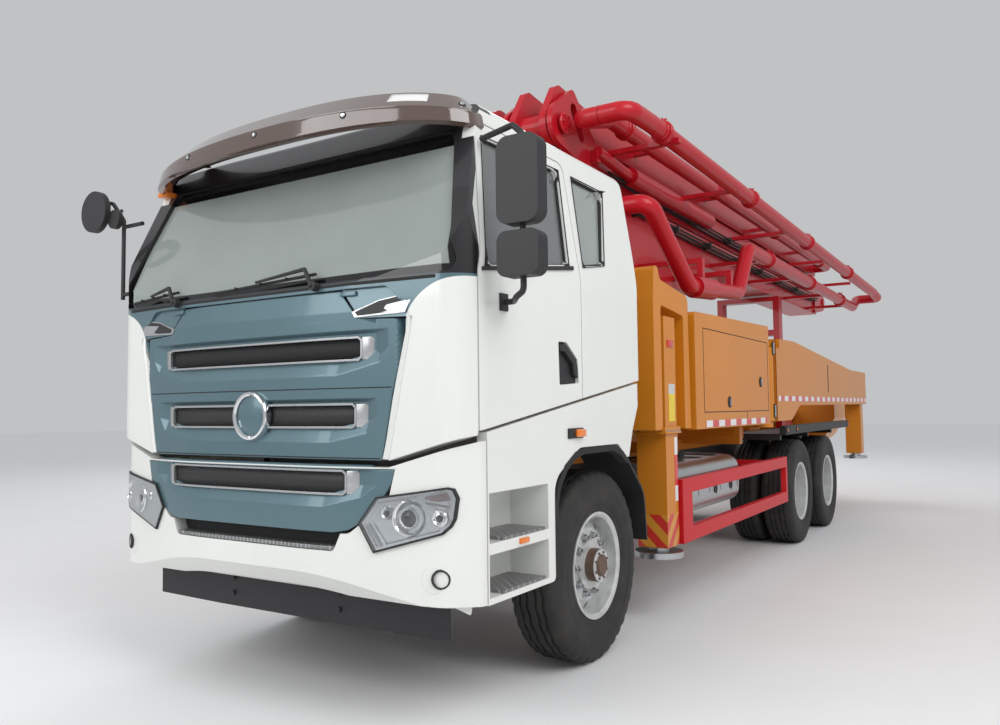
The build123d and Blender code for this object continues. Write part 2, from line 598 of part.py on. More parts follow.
def mirrors():
    """Left pair on its arm, the right pair folded back on its door, round corner mirrors on the cab."""
    heads = ((2237, 2622), (2008, 2207))
    wall = HALF_W                       # side of the cab
    head_y, bend_y, top_y = wall + MIRROR_REACH, wall + MIRROR_REACH - 55, wall - 68
    arm = block(5770, 5830, wall, wall + 12, 1890, 1970)
    arm += pipe([(5800, wall + 12, 1930), (5800, wall + 60, 1930), (5925, bend_y, 1930), (5955, head_y, 1950),
                 (5955, head_y, 2640), (5940, bend_y, 2690), (5860, top_y, 2690)], 14, 28)
    for low, high in heads:
        arm += mirror_head(5965, head_y, low, high)
    PARTS["mirrors_left"] = arm

    head_y = -wall - FOLDED_REACH
    arm = block(5770, 5830, -wall - 12, -wall, 1890, 1970)
    arm += pipe([(5800, -wall - 12, 1930), (5800, head_y, 1930), (5700, head_y, 1960), (5700, head_y, 2640),
                 (5700, -top_y, 2690)], 14, 28)
    for low, high in heads:
        arm += mirror_head(5700, head_y, low, high, turned=True)
    PARTS["mirrors_right"] = arm

    tube_y, out_y, round_y = -wall - 35, -wall - 70, -wall - 170
    arm = pipe([(6050, tube_y, 2120), (6050, tube_y, 2600), (6100, out_y, 2700), (6150, round_y, 2700)], 12, 24)
    for z in (2150, 2560):
        arm += bar((6050, tube_y, z), (6050, -wall + 150, z), 12)
    arm += bar((6130, round_y, 2650), (6165, round_y, 2650), 124)
    arm += bar((6062, tube_y - 5, 2660), (6122, tube_y + 23, 2600), 10)
    arm += bar((6105, tube_y + 23, 2590), (6135, tube_y + 23, 2590), 56)
    arm -= cab_volume(-SEAT)
    PARTS["corner_mirrors"] = arm


# ------------------------------------------------------------------ front end

def bumper_plan(inset):
    """Outer plan of the front end, moved in by inset."""
    front = BUMPER_FRONT_X - inset
    side = HALF_W - inset
    return [(BUMPER_REAR_X, -side), (5985, -side, 30), (6092 - inset, -1125, 170), (front, -480, 2200),
            (front, 480, 2200), (6092 - inset, 1125, 170), (5985, side, 30), (BUMPER_REAR_X, side)]


def front_end():
    """Bumper, lower grille in it, headlamps, underrun board."""
    shell = along_z(bumper_plan(0), BUMPER_LOW_Z, 1400) - along_z(
        bumper_plan(70) + [(5700, 1180), (5700, -1180)], BUMPER_LOW_Z - 1, 1401)
    # upper edge: level in front, rising to the corners under the cab's edge
    shell -= along_x([(-1400, 1500), (-1400, 1346), (-LOW_HALF, BUMPER_TOP_Z), (LOW_HALF, BUMPER_TOP_Z),
                      (1400, 1346), (1400, 1500)], 5800, 6300)
    shell -= along_x(inset_corners(CHIN, -3), 5900, 6300)
    shell -= along_x([(-560, 800, 30), (560, 800, 30), (600, 884), (-600, 884)], 5900, 6300)
    for side in (1, -1):
        lamp = [(side * y, z, r) for y, z, r in LAMP]
        shell -= along_x(inset_corners(lamp, -3), 5800, 6300)
        shell -= bar((5800, side * 1067, 702), (6300, side * 1067, 702), 52)
    # chamfer along the lower edge
    shell -= along_y([(6110, BUMPER_LOW_Z - 1), (6310, BUMPER_LOW_Z - 1), (6310, 700), (6205, 700)],
                     -1400, 1400)
    shell += block(5960, 6060, -1120, 1120, BUMPER_LOW_Z, BUMPER_LOW_Z + 40) & along_z(bumper_plan(40),
            500, 900)
    for side in (1, -1):
        shell += block(RAIL_X[1] + SEAT, 6080, *sorted((side * 340, side * 430)), BUMPER_LOW_Z + 40, 880)
    PARTS["bumper"] = shell

    band = along_z(bumper_plan(2), 800, 1300) - along_z(bumper_plan(60), 700, 1400)
    chin = band & along_x(CHIN, 5900, 6300)
    half, low, high = CHIN_SLOT
    chin -= block(5900, 6300, -half, half, low, high)
    chin -= along_x([(-half - 30, low - 34, 20), (half + 60, low - 34, 20), (half + 30, high + 34, 20),
                     (-half - 60, high + 34, 20)], 5900, 6300) - along_z(bumper_plan(24), 700, 1400)
    chin += both(block(RAIL_X[1] + SEAT, 6150, 340, 420, 900, 1040))
    PARTS["lower_grille"] = chin

    lamps = None
    for side in (1, -1):
        lamp = [(side * y, z, r) for y, z, r in LAMP]
        unit = (along_z(bumper_plan(4), 700, 1200) - along_z(bumper_plan(68), 600, 1300)) & along_x(lamp,
                5800, 6300)
        fog = bar((6010, side * 1067, 702), (6300, side * 1067, 702), 48) & along_z(bumper_plan(6), 600, 900)
        lamps = unit + fog if lamps is None else lamps + unit + fog
    PARTS["headlamps"] = lamps

    board = along_z([(6060, -1030), (6100, -1030, 25), (6130, -430, 1500), (6130, 430, 1500), (6100, 1030, 25),
                     (6060, 1030)], 400, BUMPER_LOW_Z - 4)
    board += both(block(5980, 6080, 350, 420, 480, BUMPER_LOW_Z - 4))
    board += both(block(5985, 6060, 350, 420, BUMPER_LOW_Z - 4, BUMPER_LOW_Z))
    PARTS["underrun_board"] = board


def fenders():
    """Fixed side skins over the front wheels with the step wells ahead of them."""
    top = 14
    skin_view = [(5330, 584, 30), (5330, 1083, 120), (5046, 1232, 120), (4560, 1232, 80), (4440, 1150),
                 (4405, 1150, 10), (4345, 1306, 60), (4262, 1450, 40), (4262, seam_z(4262) - top),
                 (FENDER_X, seam_z(FENDER_X) - top), (FENDER_X, 584)]
    side = along_y(skin_view, 1195, HALF_W)
    side += block(5330, FENDER_X, 860, 1195, 584, 1180)
    for low, high in ((612, 800), (850, 1070)):
        side -= block(5400, FENDER_X - 12, 1030, HALF_W + 5, low, high)
    side += block(5600, 5700, RAIL_Y, 860, 760, 840)
    side += block(4600, 4700, 1190, 1195, 1240, 1400)
    PARTS["fenders"] = both(side)


def wheel_liners():
    """Black inner arches over the front wheels."""
    liner = along_y([(5320, 700), (5320, 1072, 120), (5036, 1216, 120), (4400, 1216, 200), (4050, 900, 200),
                     (4018, 600), (4003, 600), (4035, 905, 200), (4390, 1230, 200), (5040, 1230, 120),
                     (5328, 1082, 120), (5328, 700)], 880, 1190)
    return both(liner)


# ------------------------------------------------------------------ body

def side_cabinets():
    """Closed side lockers with a sloping top."""
    x0, x1 = CABINET_X
    locker = along_y([(x0, 1277), (x0, 2190, 15), (x1, 2140, 40), (x1, 1277)], *CABINET_Y)
    # shallow groove round the big lid and its two latch wells
    return both(locker)


def tanks():
    """Fuel tank on the left, oil tank on the right, hung on the rails."""
    tank = along_x([(560, 640, 60), (1150, 640, 110), (1150, 1030, 110), (560, 1030, 60)], 1870, 3360)
    straps = None
    for x in (2100, 3130):
        hang = block(x - 40, x + 40, RAIL_Y, 560, 800, 900)
        straps = hang if straps is None else straps + hang
    return both(tank + straps)


def side_guards():
    """Rectangular guard frames between the wheels, on brackets from the rails."""
    x0, x1 = 530, 3480
    guard = block(x0, x1, 1190, 1240, 500, 600) + block(x0, x1, 1190, 1240, 840, 940)
    guard += block(x1 - 190, x1, 1190, 1240, 600, 840) + block(x0, x0 + 60, 1190, 1240, 600, 840)
    for x in (700, 1700, 3420):
        guard += block(x - 25, x + 25, RAIL_Y, 1190, 860, 910)
    return both(guard)


def rear_guards():
    """Mudguard plates and walk bars over the rear wheels."""
    guard = block(-2250, 420, 600, 1150, 1150, 1160)
    guard += block(-3030, 420, 1150, 1215, 1150, 1240)
    for x in (-2200, -860, 380):
        guard += block(x - 30, x + 30, RAIL_Y, 1150, 1095, 1150)
    return both(guard)


def pump_unit():
    """Twin drive and delivery cylinders with the water box, and the delivery line."""
    z = 1320
    unit = block(-1900, -1450, -330, 330, 1135, 1560)
    for y in (-150, 150):
        unit += bar((-1450, y, z), (640, y, z), 85)
        unit += bar((-4330, y, z), (-1900, y, z), 110)
    unit += block(-1850, -1500, -300, 300, SUB_Z[1], 1140)
    line_z = 1460
    unit += pipe([(-4330, -560, line_z), (1150, -560, line_z), (1400, -100, line_z),
                  (SLEW_X - PEDESTAL_R - 2, -100, line_z)], PIPE_R, 120)
    unit += block(-1750, -1600, -530, -300, line_z - 40, line_z + 40)
    return unit


def hopper():
    """Open hopper behind the frame, its floor rounded, with side gusset and rail."""
    outer = along_x([(-800, 1630), (-800, 1250), (-620, 900, 200), (620, 900, 200), (800, 1250), (800,
            1630)], -5330, -4340)
    outer &= along_y([(-5380, 1640), (-5050, 880), (-4340, 880), (-4340, 1640)], -900, 900)
    inner = along_x([(-780, 1650), (-780, 1255), (-606, 920, 190), (606, 920, 190), (780, 1255), (780,
            1650)], -5330, -4360)
    inner &= along_y([(-5362, 1650), (-5038, 900), (-4360, 900), (-4360, 1650)], -900, 900)
    body = outer - inner
    body += block(-4340, -4250, -430, 430, 905, 1030)
    body += block(-4340, -4290, -700, 700, 1030, 1100)
    return body


def hopper_grate():
    """Hinged bar grate over the hopper."""
    z0, z1 = 1630 + SEAT, 1660
    frame = block(-5340, -4360, -770, 770, z0, z1) - block(-5300, -4400, -730, 730, z0 - 1, z1 + 1)
    for y in range(-600, 601, 150):
        frame += block(-5310, -4390, y - 8, y + 8, z0, z1)
    return frame


# ------------------------------------------------------------------ outriggers

def front_arm(side, beam_x):
    """Sliding beam with the leg's frame plate, the leg tube and its collar."""
    z0, z1 = SLEEVE_Z
    x0, x1 = beam_x
    y = side * LEG_Y
    near = side * 1037
    arm = block(x0, x1, *sorted((-side * 990, side * 1140)), z0, z1)
    pad = SLEEVE_GAP - SEAT
    arm += block(x0 + 40, x1 - 40, *sorted((-side * 980, -side * 880)), z0 - pad, z1 + pad)
    # frame plate beside the leg: tall outline with an ear at its front
    plate = [(3890, 1290), (3890, 2150, 60), (3870, 2384, 40), (3800, 2384, 40), (3770, 2300, 60), (3230,
            2240, 60),
             (3205, 1290)]
    arm += along_y(plate, *sorted((side * 1045, side * 1085)))
    rim_plate = along_y(plate, *sorted((side * 1085, side * 1215)))
    rim_plate -= along_y([(3760, 1200), (3760, 2130, 30), (3330, 2090, 30), (3330, 1200)],
                         *sorted((side * 1080, side * 1220)))
    arm += rim_plate
    half = LEG_SIZE / 2
    leg = block(LEG_X - half, LEG_X + half, y - half, y + half, LEG_LOW_Z, 2060)
    leg += block(LEG_X - half - 40, LEG_X + half + 40, *sorted((side * 1045, side * (LEG_Y + half + 12))),
                 1275, 1310)
    leg -= bar((LEG_X, y, LEG_LOW_Z - 1), (LEG_X, y, 1900), 62)
    arm -= block(LEG_X - half, LEG_X + half, y - half, y + half, LEG_LOW_Z, 2060)
    return arm + leg


def jack(x, y, low, high, top):
    """Jack rod with its round foot."""
    foot = bar((x, y, low), (x, y, high), PAD_R)
    foot += bar((x, y, high), (x, y, high + 30), 70)
    return foot + bar((x, y, high), (x, y, top), 56)


def rear_arm(side):
    """Swinging arm: deep root round the pin, tapered beam, leg tube at its end."""
    px, py = ARM_PIVOT
    arm = along_y([(px - 120, 1296), (px - 120, 2004), (px - 240, 2100, 60), (60, 2110, 500), (-3160,
            1925, 200),
                   (-4420, 1923, 15), (-4420, 1455), (-110, 1449, 250), (270, 1296, 200)], *sorted(
                       (side * ARM_Y[0], side * ARM_Y[1])))
    root = Pos(px, side * py, 0) * Cylinder(125, 2004 - 1296, align=(Align.CENTER, Align.CENTER, Align.MIN)
                                            ).moved(Location((0, 0, 1296)))
    arm += root
    arm -= block(px - 250, px + 200, -1300, 1300, 2004, 2200)
    arm -= bar((px, side * py, 1000), (px, side * py, 2200), ARM_PIN_R + RUN)
    half = LEG_SIZE / 2
    x, y = REAR_LEG_X, side * py
    leg = block(x - half, x + half, y - half, y + half, 740, 1455)
    arm += leg
    arm -= bar((x, y, 700), (x, y, 1800), 62)
    return arm


def outriggers():
    for name, side, beam_x in (("left", 1, SLEEVE_X[0]), ("right", -1, SLEEVE_X[1])):
        PARTS["front_outrigger_" + name] = front_arm(side, beam_x)
        PARTS["front_jack_" + name] = jack(LEG_X, side * LEG_Y, *PAD_Z, 1780)
        PARTS["rear_outrigger_" + name] = rear_arm(side)
        PARTS["rear_jack_" + name] = jack(REAR_LEG_X, side * ARM_PIVOT[1], *REAR_PAD_Z, 1700)


# ------------------------------------------------------------------ turret and boom


def turret():
    """Slewing ring, deck, two cheeks up to the first boom pivot, riser pipe."""
    low, high = RING_Z
    body = Pos(SLEW_X, 0, low + SEAT) * Cylinder(PEDESTAL_R, high - low - SEAT, align=(Align.CENTER,
            Align.CENTER, Align.MIN))
    body += Pos(SLEW_X, 0, high) * Cylinder(780, 40, align=(Align.CENTER, Align.CENTER, Align.MIN))
    cheek = [(1480, high), (2840, high), (2920, 1900), (3040, 2500), (3330, 2960), (3330, 3060, 120),
             (3200, 3190, 120), (3080, 3190, 120), (2860, 2950), (2450, 2450, 200), (1700, 2050, 100),
             (1480, 1900)]
    for side in (1, -1):
        body += along_y(cheek, *sorted((MAIN_Y + side * CHEEK_IN, MAIN_Y + side * CHEEK_OUT)))
        body += pin_y(PIVOT_1, 185, *sorted((MAIN_Y + side * CHEEK_IN, MAIN_Y + side * (CHEEK_OUT + 40))))
    body += pin_y(PIVOT_1, 75, MAIN_Y - CHEEK_OUT, MAIN_Y + CHEEK_OUT)
    for side in (1, -1):
        y0, y1 = sorted((MAIN_Y + side * 72, MAIN_Y + side * 110))
        body += along_y(hull((2740, high + 42, 12), (2890, high + 42, 12), (*LUFF_FOOT, 78)), y0, y1)
    body += pin_y(LUFF_FOOT, 45, MAIN_Y - 110, MAIN_Y + 110)
    # riser from the slewing centre, out through the left cheek and up to the pivot line
    body += riser()
    return body


def riser():
    """Delivery pipe from the deck to the swivel on the first pivot."""
    y = SWIVEL_Y - 180
    x, z = PIVOT_1
    return pipe([(1950, y, RING_Z[1] + 38), (1950, y, 2150), (x, y, 2520), (x, y, z), (x, SWIVEL_Y, z)],
                PIPE_R, 110)


def luff_barrel():
    """Cylinder barrel with its foot eye."""
    foot, eye = Vector(LUFF_FOOT[0], MAIN_Y, LUFF_FOOT[1]), Vector(LUFF_EYE[0], MAIN_Y, LUFF_EYE[1])
    line = (eye - foot).normalized()
    end = foot + line * LUFF_BARREL_L
    body = bar(tuple(foot + line * 140), tuple(end), LUFF_BARREL_R)
    body += bar(tuple(foot + line * 20), tuple(foot + line * 140), 62)
    body += pin_y(LUFF_FOOT, 85, MAIN_Y - 65, MAIN_Y + 65)
    body -= pin_y(LUFF_FOOT, 45 + RUN, MAIN_Y - 80, MAIN_Y + 80)
    body -= bar(tuple(foot + line * 170), tuple(end + line * 10), LUFF_ROD_R + RUN)
    return body


def luff_rod():
    """Piston rod with the eye on the boom's pin."""
    foot, eye = Vector(LUFF_FOOT[0], MAIN_Y, LUFF_FOOT[1]), Vector(LUFF_EYE[0], MAIN_Y, LUFF_EYE[1])
    line = (eye - foot).normalized()
    rod = bar(tuple(foot + line * 190), tuple(eye - line * 40), LUFF_ROD_R)
    return rod + pin_y(LUFF_EYE, 72, MAIN_Y - 48, MAIN_Y + 48)


def plates(points, middle, inside, outside):
    """Pair of equal plates on both sides of a middle plane."""
    return along_y(points, middle + inside, middle + outside) + along_y(points, middle - outside,
            middle - inside)


def boom_1():
    """First section: deep root, straight girder, fork at its tip, pipe on long brackets."""
    x, z = PIVOT_1
    tip_x, tip_z = PIVOT_2
    half = 220
    girder = along_y([(x - 40, z - 138), (2600, 2895), (2205, 2895), (2080, 2640, 100), (430, 2640, 150),
                      (165, 2988),
                      (tip_x + 390, 2988),
                      (tip_x + 390, 3300), (2500, 3300, 300), (x + 20, z + 142)], MAIN_Y - half,
                      MAIN_Y + half)
    girder += pin_y(PIVOT_1, 145, MAIN_Y - half, MAIN_Y + half)
    girder -= pin_y(PIVOT_1, 75 + RUN, MAIN_Y - 400, MAIN_Y + 400)
    girder -= block(2240, 2620, MAIN_Y - 58, MAIN_Y + 58, 2600, 2960)
    girder += plates([(2230, 2896), (2510, 2896), (2430, 2770, 40), (2310, 2770, 40)], MAIN_Y, 58, 90)
    for side in (1, -1):
        girder += pin_y(LUFF_EYE, 60, *sorted((MAIN_Y + side * 56, MAIN_Y + side * 110)))
    fork = hull((tip_x + 600, 3004, 12), (tip_x + 600, 3286, 12), (tip_x, tip_z, 150))
    girder += plates(fork, MAIN_Y, 214, 250)
    girder += pin_y(PIVOT_2, 60, MAIN_Y - 275, MAIN_Y + 275)
    y = PIPE_1_Y
    girder += pipe([(x, SWIVEL_Y + 4, z), (x, y, z), (2300, y, 2458), (900, y, 2557), (480, y, 3062),
                    (tip_x + 420, y, 3066), (tip_x, y, tip_z), (tip_x, y + ELBOW, tip_z)], PIPE_R, 120)
    girder += bar((2180, y, 2466.5), (1700, y, 2500.4), 95)
    for station in (-100, -1600, -3500, -5000):
        girder += block(station - 30, station + 30, MAIN_Y + half, y, 3010, 3050)
    for station in (1930, 1100):
        girder += block(station, station + 60, MAIN_Y + half, y + 20, 2700, 2750)
        girder += block(station, station + 60, y - 30, y + 20, 2540, 2700)
    return girder


def boom_2():
    """Second section, folded forward over the first."""
    x, z = PIVOT_2
    tip_x, tip_z = PIVOT_3
    half = 185
    girder = along_y([(x + 350, 3342), (tip_x - 400, 3342), (tip_x - 400, 3612), (x + 350, 3612)],
                     MAIN_Y - half, MAIN_Y + half)
    girder += along_y(hull((x + 360, 3354, 12), (x + 460, 3600, 12), (x, z, 150)), MAIN_Y - half,
                      MAIN_Y + half)
    girder -= pin_y(PIVOT_2, 60 + RUN, MAIN_Y - 400, MAIN_Y + 400)
    cheek = hull((tip_x - 620, 3354, 12), (tip_x - 620, 3600, 12), (tip_x - 190, 3905, 55), (tip_x, tip_z,
            165))
    window = hull((tip_x - 330, 3620, 45), (tip_x - 205, 3800, 55))
    girder += plates(cheek, MAIN_Y, 182, 226)
    girder -= along_y(window, MAIN_Y - 400, MAIN_Y - 180) + along_y(window, MAIN_Y + 180, MAIN_Y + 400)
    girder += pin_y(PIVOT_3, 60, MAIN_Y - 250, MAIN_Y + 250)
    y = PIPE_2_Y
    girder += pipe([(x, y - ELBOW, z), (x, y, z), (x + 420, y - 20, z + 60), (3030, 880, 3650), (tip_x,
            880, tip_z),
                    (tip_x, 660, tip_z)], PIPE_R, 100)
    for station, height in ((-4900, 3345), (-2900, 3400), (-900, 3450), (1100, 3510), (2700, 3560)):
        girder += block(station - 30, station + 30, MAIN_Y + half, 1000, height, height + 40)
    # knuckle cylinder on the left flank, rod towards the tip
    girder += bar((150, MAIN_Y + 285, 3480), (2300, MAIN_Y + 285, 3480), 80)
    girder += bar((2300, MAIN_Y + 285, 3480), (2950, MAIN_Y + 285, 3530), 48)
    for station in (200, 2200, 2930):
        girder += block(station - 30, station + 30, MAIN_Y + half, MAIN_Y + 290, 3450, 3550)
    return girder


def boom_3():
    """Third section, folded back over the second; a long pin leads to the fourth."""
    x, z = PIVOT_3
    tip_x, tip_z = PIVOT_4
    half = 165
    girder = along_y([(x - 300, 3660), (tip_x + 300, 3660), (tip_x + 300, 3930), (x - 300, 3930)],
                     MAIN_Y - half, MAIN_Y + half)
    root = hull((x - 480, 3674, 12), (x - 480, 3920, 12), (x, z, 150), (x - 90, 3890, 85))
    girder -= block(x - 420, x, -1000, 1000, 3000, 3990)
    girder += plates(root, MAIN_Y, 105, half) + along_y(hull((x - 480, 3674, 12), (x - 480, 3920, 12),
                                                             (x - 400, 3690, 12),
                                                            (x - 400, 3900, 12)), MAIN_Y - half,
                                                            MAIN_Y + half)
    girder += pin_y(PIVOT_3, 100, MAIN_Y - half, MAIN_Y + half)
    girder -= pin_y(PIVOT_3, 60 + RUN, MAIN_Y - 400, MAIN_Y + 400)
    girder += along_y(hull((tip_x + 450, 3674, 12), (tip_x + 450, 3918, 12), (tip_x, tip_z, 138)),
                      MAIN_Y - half, MAIN_Y + half)
    girder += pin_y(PIVOT_4, 110, SIDE_Y + 172, MAIN_Y)
    girder += pin_y(PIVOT_4, 85, SIDE_Y - 195, SIDE_Y + 200)
    y = 480
    girder += pipe([(x, 656, z), (x, y, z), (2900, y, tip_z), (tip_x, y, tip_z),
                    (tip_x, MAIN_Y, tip_z)], PIPE_R, 90)
    for station in (1900, -100, -2100, -4100):
        girder += block(station - 30, station + 30, MAIN_Y + half, y, 3780, 3820)
    return girder


def boom_4():
    """Fourth section, beside the second."""
    x, z = PIVOT_4
    tip_x, tip_z = PIVOT_5
    half = 150
    girder = along_y([(x + 300, 3367), (tip_x - 340, 3367), (tip_x - 340, 3600), (x + 300, 3600)],
                     SIDE_Y - half, SIDE_Y + half)
    girder += along_y(hull((x + 500, 3379, 12), (x + 500, 3588, 12), (x, z, 150)), SIDE_Y - 165, SIDE_Y + 165)
    girder -= pin_y(PIVOT_4, 85 + RUN, SIDE_Y - 400, SIDE_Y + 400)
    fork = hull((tip_x - 520, 3379, 12), (tip_x - 520, 3588, 12), (tip_x, tip_z, 165))
    girder += plates(fork, SIDE_Y, 146, 180)
    girder += pin_y(PIVOT_5, 50, SIDE_Y - 200, SIDE_Y + 200)
    y = SIDE_Y - 350
    girder += pipe([(x, SIDE_Y - 200, z), (x, y, z), (x + 500, y, 3480), (tip_x - 500, y, 3480), (tip_x,
            y, tip_z),
                    (tip_x, y - 150, tip_z)], 62, 80)
    for station in (-4200, -2200, -200, 1800):
        girder += block(station - 30, station + 30, y, SIDE_Y - half, 3460, 3500)
    return girder


def boom_5():
    """Last section, folded back over the fourth."""
    x, z = PIVOT_5
    half = 125
    end_x = -4700
    girder = along_y([(x - 330, 3665), (end_x, 3690), (end_x, 3840), (x - 330, 3900)], SIDE_Y - half,
                     SIDE_Y + half)
    girder += along_y(hull((x - 460, 3678, 12), (x - 460, 3885, 12), (x, z, 120)),
                      SIDE_Y - 138, SIDE_Y + 138)
    girder -= pin_y(PIVOT_5, 50 + RUN, SIDE_Y - 400, SIDE_Y + 400)
    y = SIDE_Y - 350 - 150 - FACE_GAP
    girder += pipe([(x, y, z), (x, y - 150, z), (x - 450, SIDE_Y - 240, 3780),
                    (end_x - 200, SIDE_Y - 240, 3770), (end_x - 200, SIDE_Y - 240 - END_PIPE_L - 80,
                                                        3770)], 62, 80)
    for station in (2000, 0, -2000, -4000):
        girder += block(station - 30, station + 30, SIDE_Y - 240, SIDE_Y - half, 3755, 3795)
    return girder


def build():
    PARTS["chassis_frame"] = chassis_frame()
    PARTS["subframe"] = subframe()
    PARTS["boom_rest"] = boom_rest()
    PARTS["axles"] = axles()
    PARTS["engine"] = engine()
    running_gear()
    cab()
    front_end()
    fenders()
    PARTS["side_cabinets"] = side_cabinets()
    PARTS["tanks"] = tanks()
    PARTS["side_guards"] = side_guards()
    PARTS["mudguards"] = wheel_liners() + rear_guards()
    PARTS["pump_unit"] = pump_unit()
    PARTS["hopper"] = hopper()
    PARTS["hopper_grate"] = hopper_grate()
    outriggers()
    PARTS["turret"] = turret()
    PARTS["luff_barrel"] = luff_barrel()
    PARTS["luff_rod"] = luff_rod()
    PARTS["boom_1"] = boom_1()
    PARTS["boom_2"] = boom_2()
    PARTS["boom_3"] = boom_3()
    PARTS["boom_4"] = boom_4()
    PARTS["boom_5"] = boom_5()


build()
os.makedirs("parts", exist_ok=True)
for name, shape in PARTS.items():
    export_step(shape, f"parts/{name}.step")
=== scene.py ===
"""Looks of a truck-mounted concrete pump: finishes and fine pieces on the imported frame.

Metres.  +X forward, +Y to the truck's left, +Z up, as in the frame.
"""
import json
import math

import bmesh
import bpy
from mathutils import Matrix, Vector
from mathutils.bvhtree import BVHTree


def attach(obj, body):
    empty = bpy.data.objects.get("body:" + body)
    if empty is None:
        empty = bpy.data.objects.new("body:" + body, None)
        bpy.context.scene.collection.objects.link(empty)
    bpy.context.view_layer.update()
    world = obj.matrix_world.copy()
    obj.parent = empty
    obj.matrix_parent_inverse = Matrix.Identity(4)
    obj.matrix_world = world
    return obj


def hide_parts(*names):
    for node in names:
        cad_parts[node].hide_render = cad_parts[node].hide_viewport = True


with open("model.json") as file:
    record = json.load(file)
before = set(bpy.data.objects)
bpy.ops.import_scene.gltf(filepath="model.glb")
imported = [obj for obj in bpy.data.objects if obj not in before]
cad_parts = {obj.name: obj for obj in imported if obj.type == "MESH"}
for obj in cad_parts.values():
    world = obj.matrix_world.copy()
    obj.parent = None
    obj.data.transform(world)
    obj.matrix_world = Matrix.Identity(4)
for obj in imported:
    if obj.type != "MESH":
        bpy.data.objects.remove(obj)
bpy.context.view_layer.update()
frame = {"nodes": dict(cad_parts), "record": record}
NODES = frame["nodes"]

# ------------------------------------------------------------------ places taken from the frame's source

FRONT_AXLE_X = 4.65
REAR_AXLES_X = (-0.16, -1.56)
AXLE_Z = 0.542
FRONT_WHEEL_Y = 1.015
TWIN_Y = (1.08, 0.74)
MAIN_Y = 0.1
SIDE_Y = -0.47
SEAM = ((4.2, 1.613), (5.997, 1.346))
LEG_X = 3.61
# half width, low edge and high edge of the three grille slots
SLOTS = ((0.691, 1.679, 1.773), (0.657, 1.369, 1.466), (0.618, 1.064, 1.161))
PIPES = {
    "section_1": [(3.15, 0.9, 3.0), (2.3, 0.9, 2.458), (0.9, 0.9, 2.557), (0.48, 0.9, 3.062),
                  (-5.63, 0.9, 3.066), (-6.05, 0.9, 3.23)],
    "section_2": [(-5.63, 1.21, 3.29), (3.03, 0.88, 3.65)],
    "section_3": [(2.9, 0.48, 3.8), (-5.85, 0.48, 3.8)],
    "section_4": [(-5.35, -0.82, 3.48), (2.83, -0.82, 3.48)],
    "section_5": [(2.88, -0.71, 3.78), (-4.76, -0.71, 3.77)],
}


# ------------------------------------------------------------------ shader maths

class Wire:
    """A socket's value with arithmetic: every operator adds one Math node."""

    def __init__(self, shader, socket):
        self.shader, self.socket = shader, socket

    def _math(self, operation, *values):
        return self.shader.node("ShaderNodeMath", {"operation": operation}, dict(enumerate(values)))

    def __add__(self, other):
        return self._math("ADD", self, other)

    __radd__ = __add__

    def __mul__(self, other):
        return self._math("MULTIPLY", self, other)

    __rmul__ = __mul__

    def __sub__(self, other):
        return self._math("SUBTRACT", self, other)

    def __rsub__(self, other):
        return self._math("SUBTRACT", other, self)

    def __truediv__(self, other):
        return self._math("DIVIDE", self, other)

    def __gt__(self, other):
        return self._math("GREATER_THAN", self, other)

    def __lt__(self, other):
        return self._math("LESS_THAN", self, other)

    def __abs__(self):
        return self._math("ABSOLUTE", self)

    def __mod__(self, other):
        return self._math("FLOORED_MODULO", self, other)

    def sine(self):
        return self._math("SINE", self)

    def most(self, other):
        return self._math("MAXIMUM", self, other)

    def least(self, other):
        return self._math("MINIMUM", self, other)


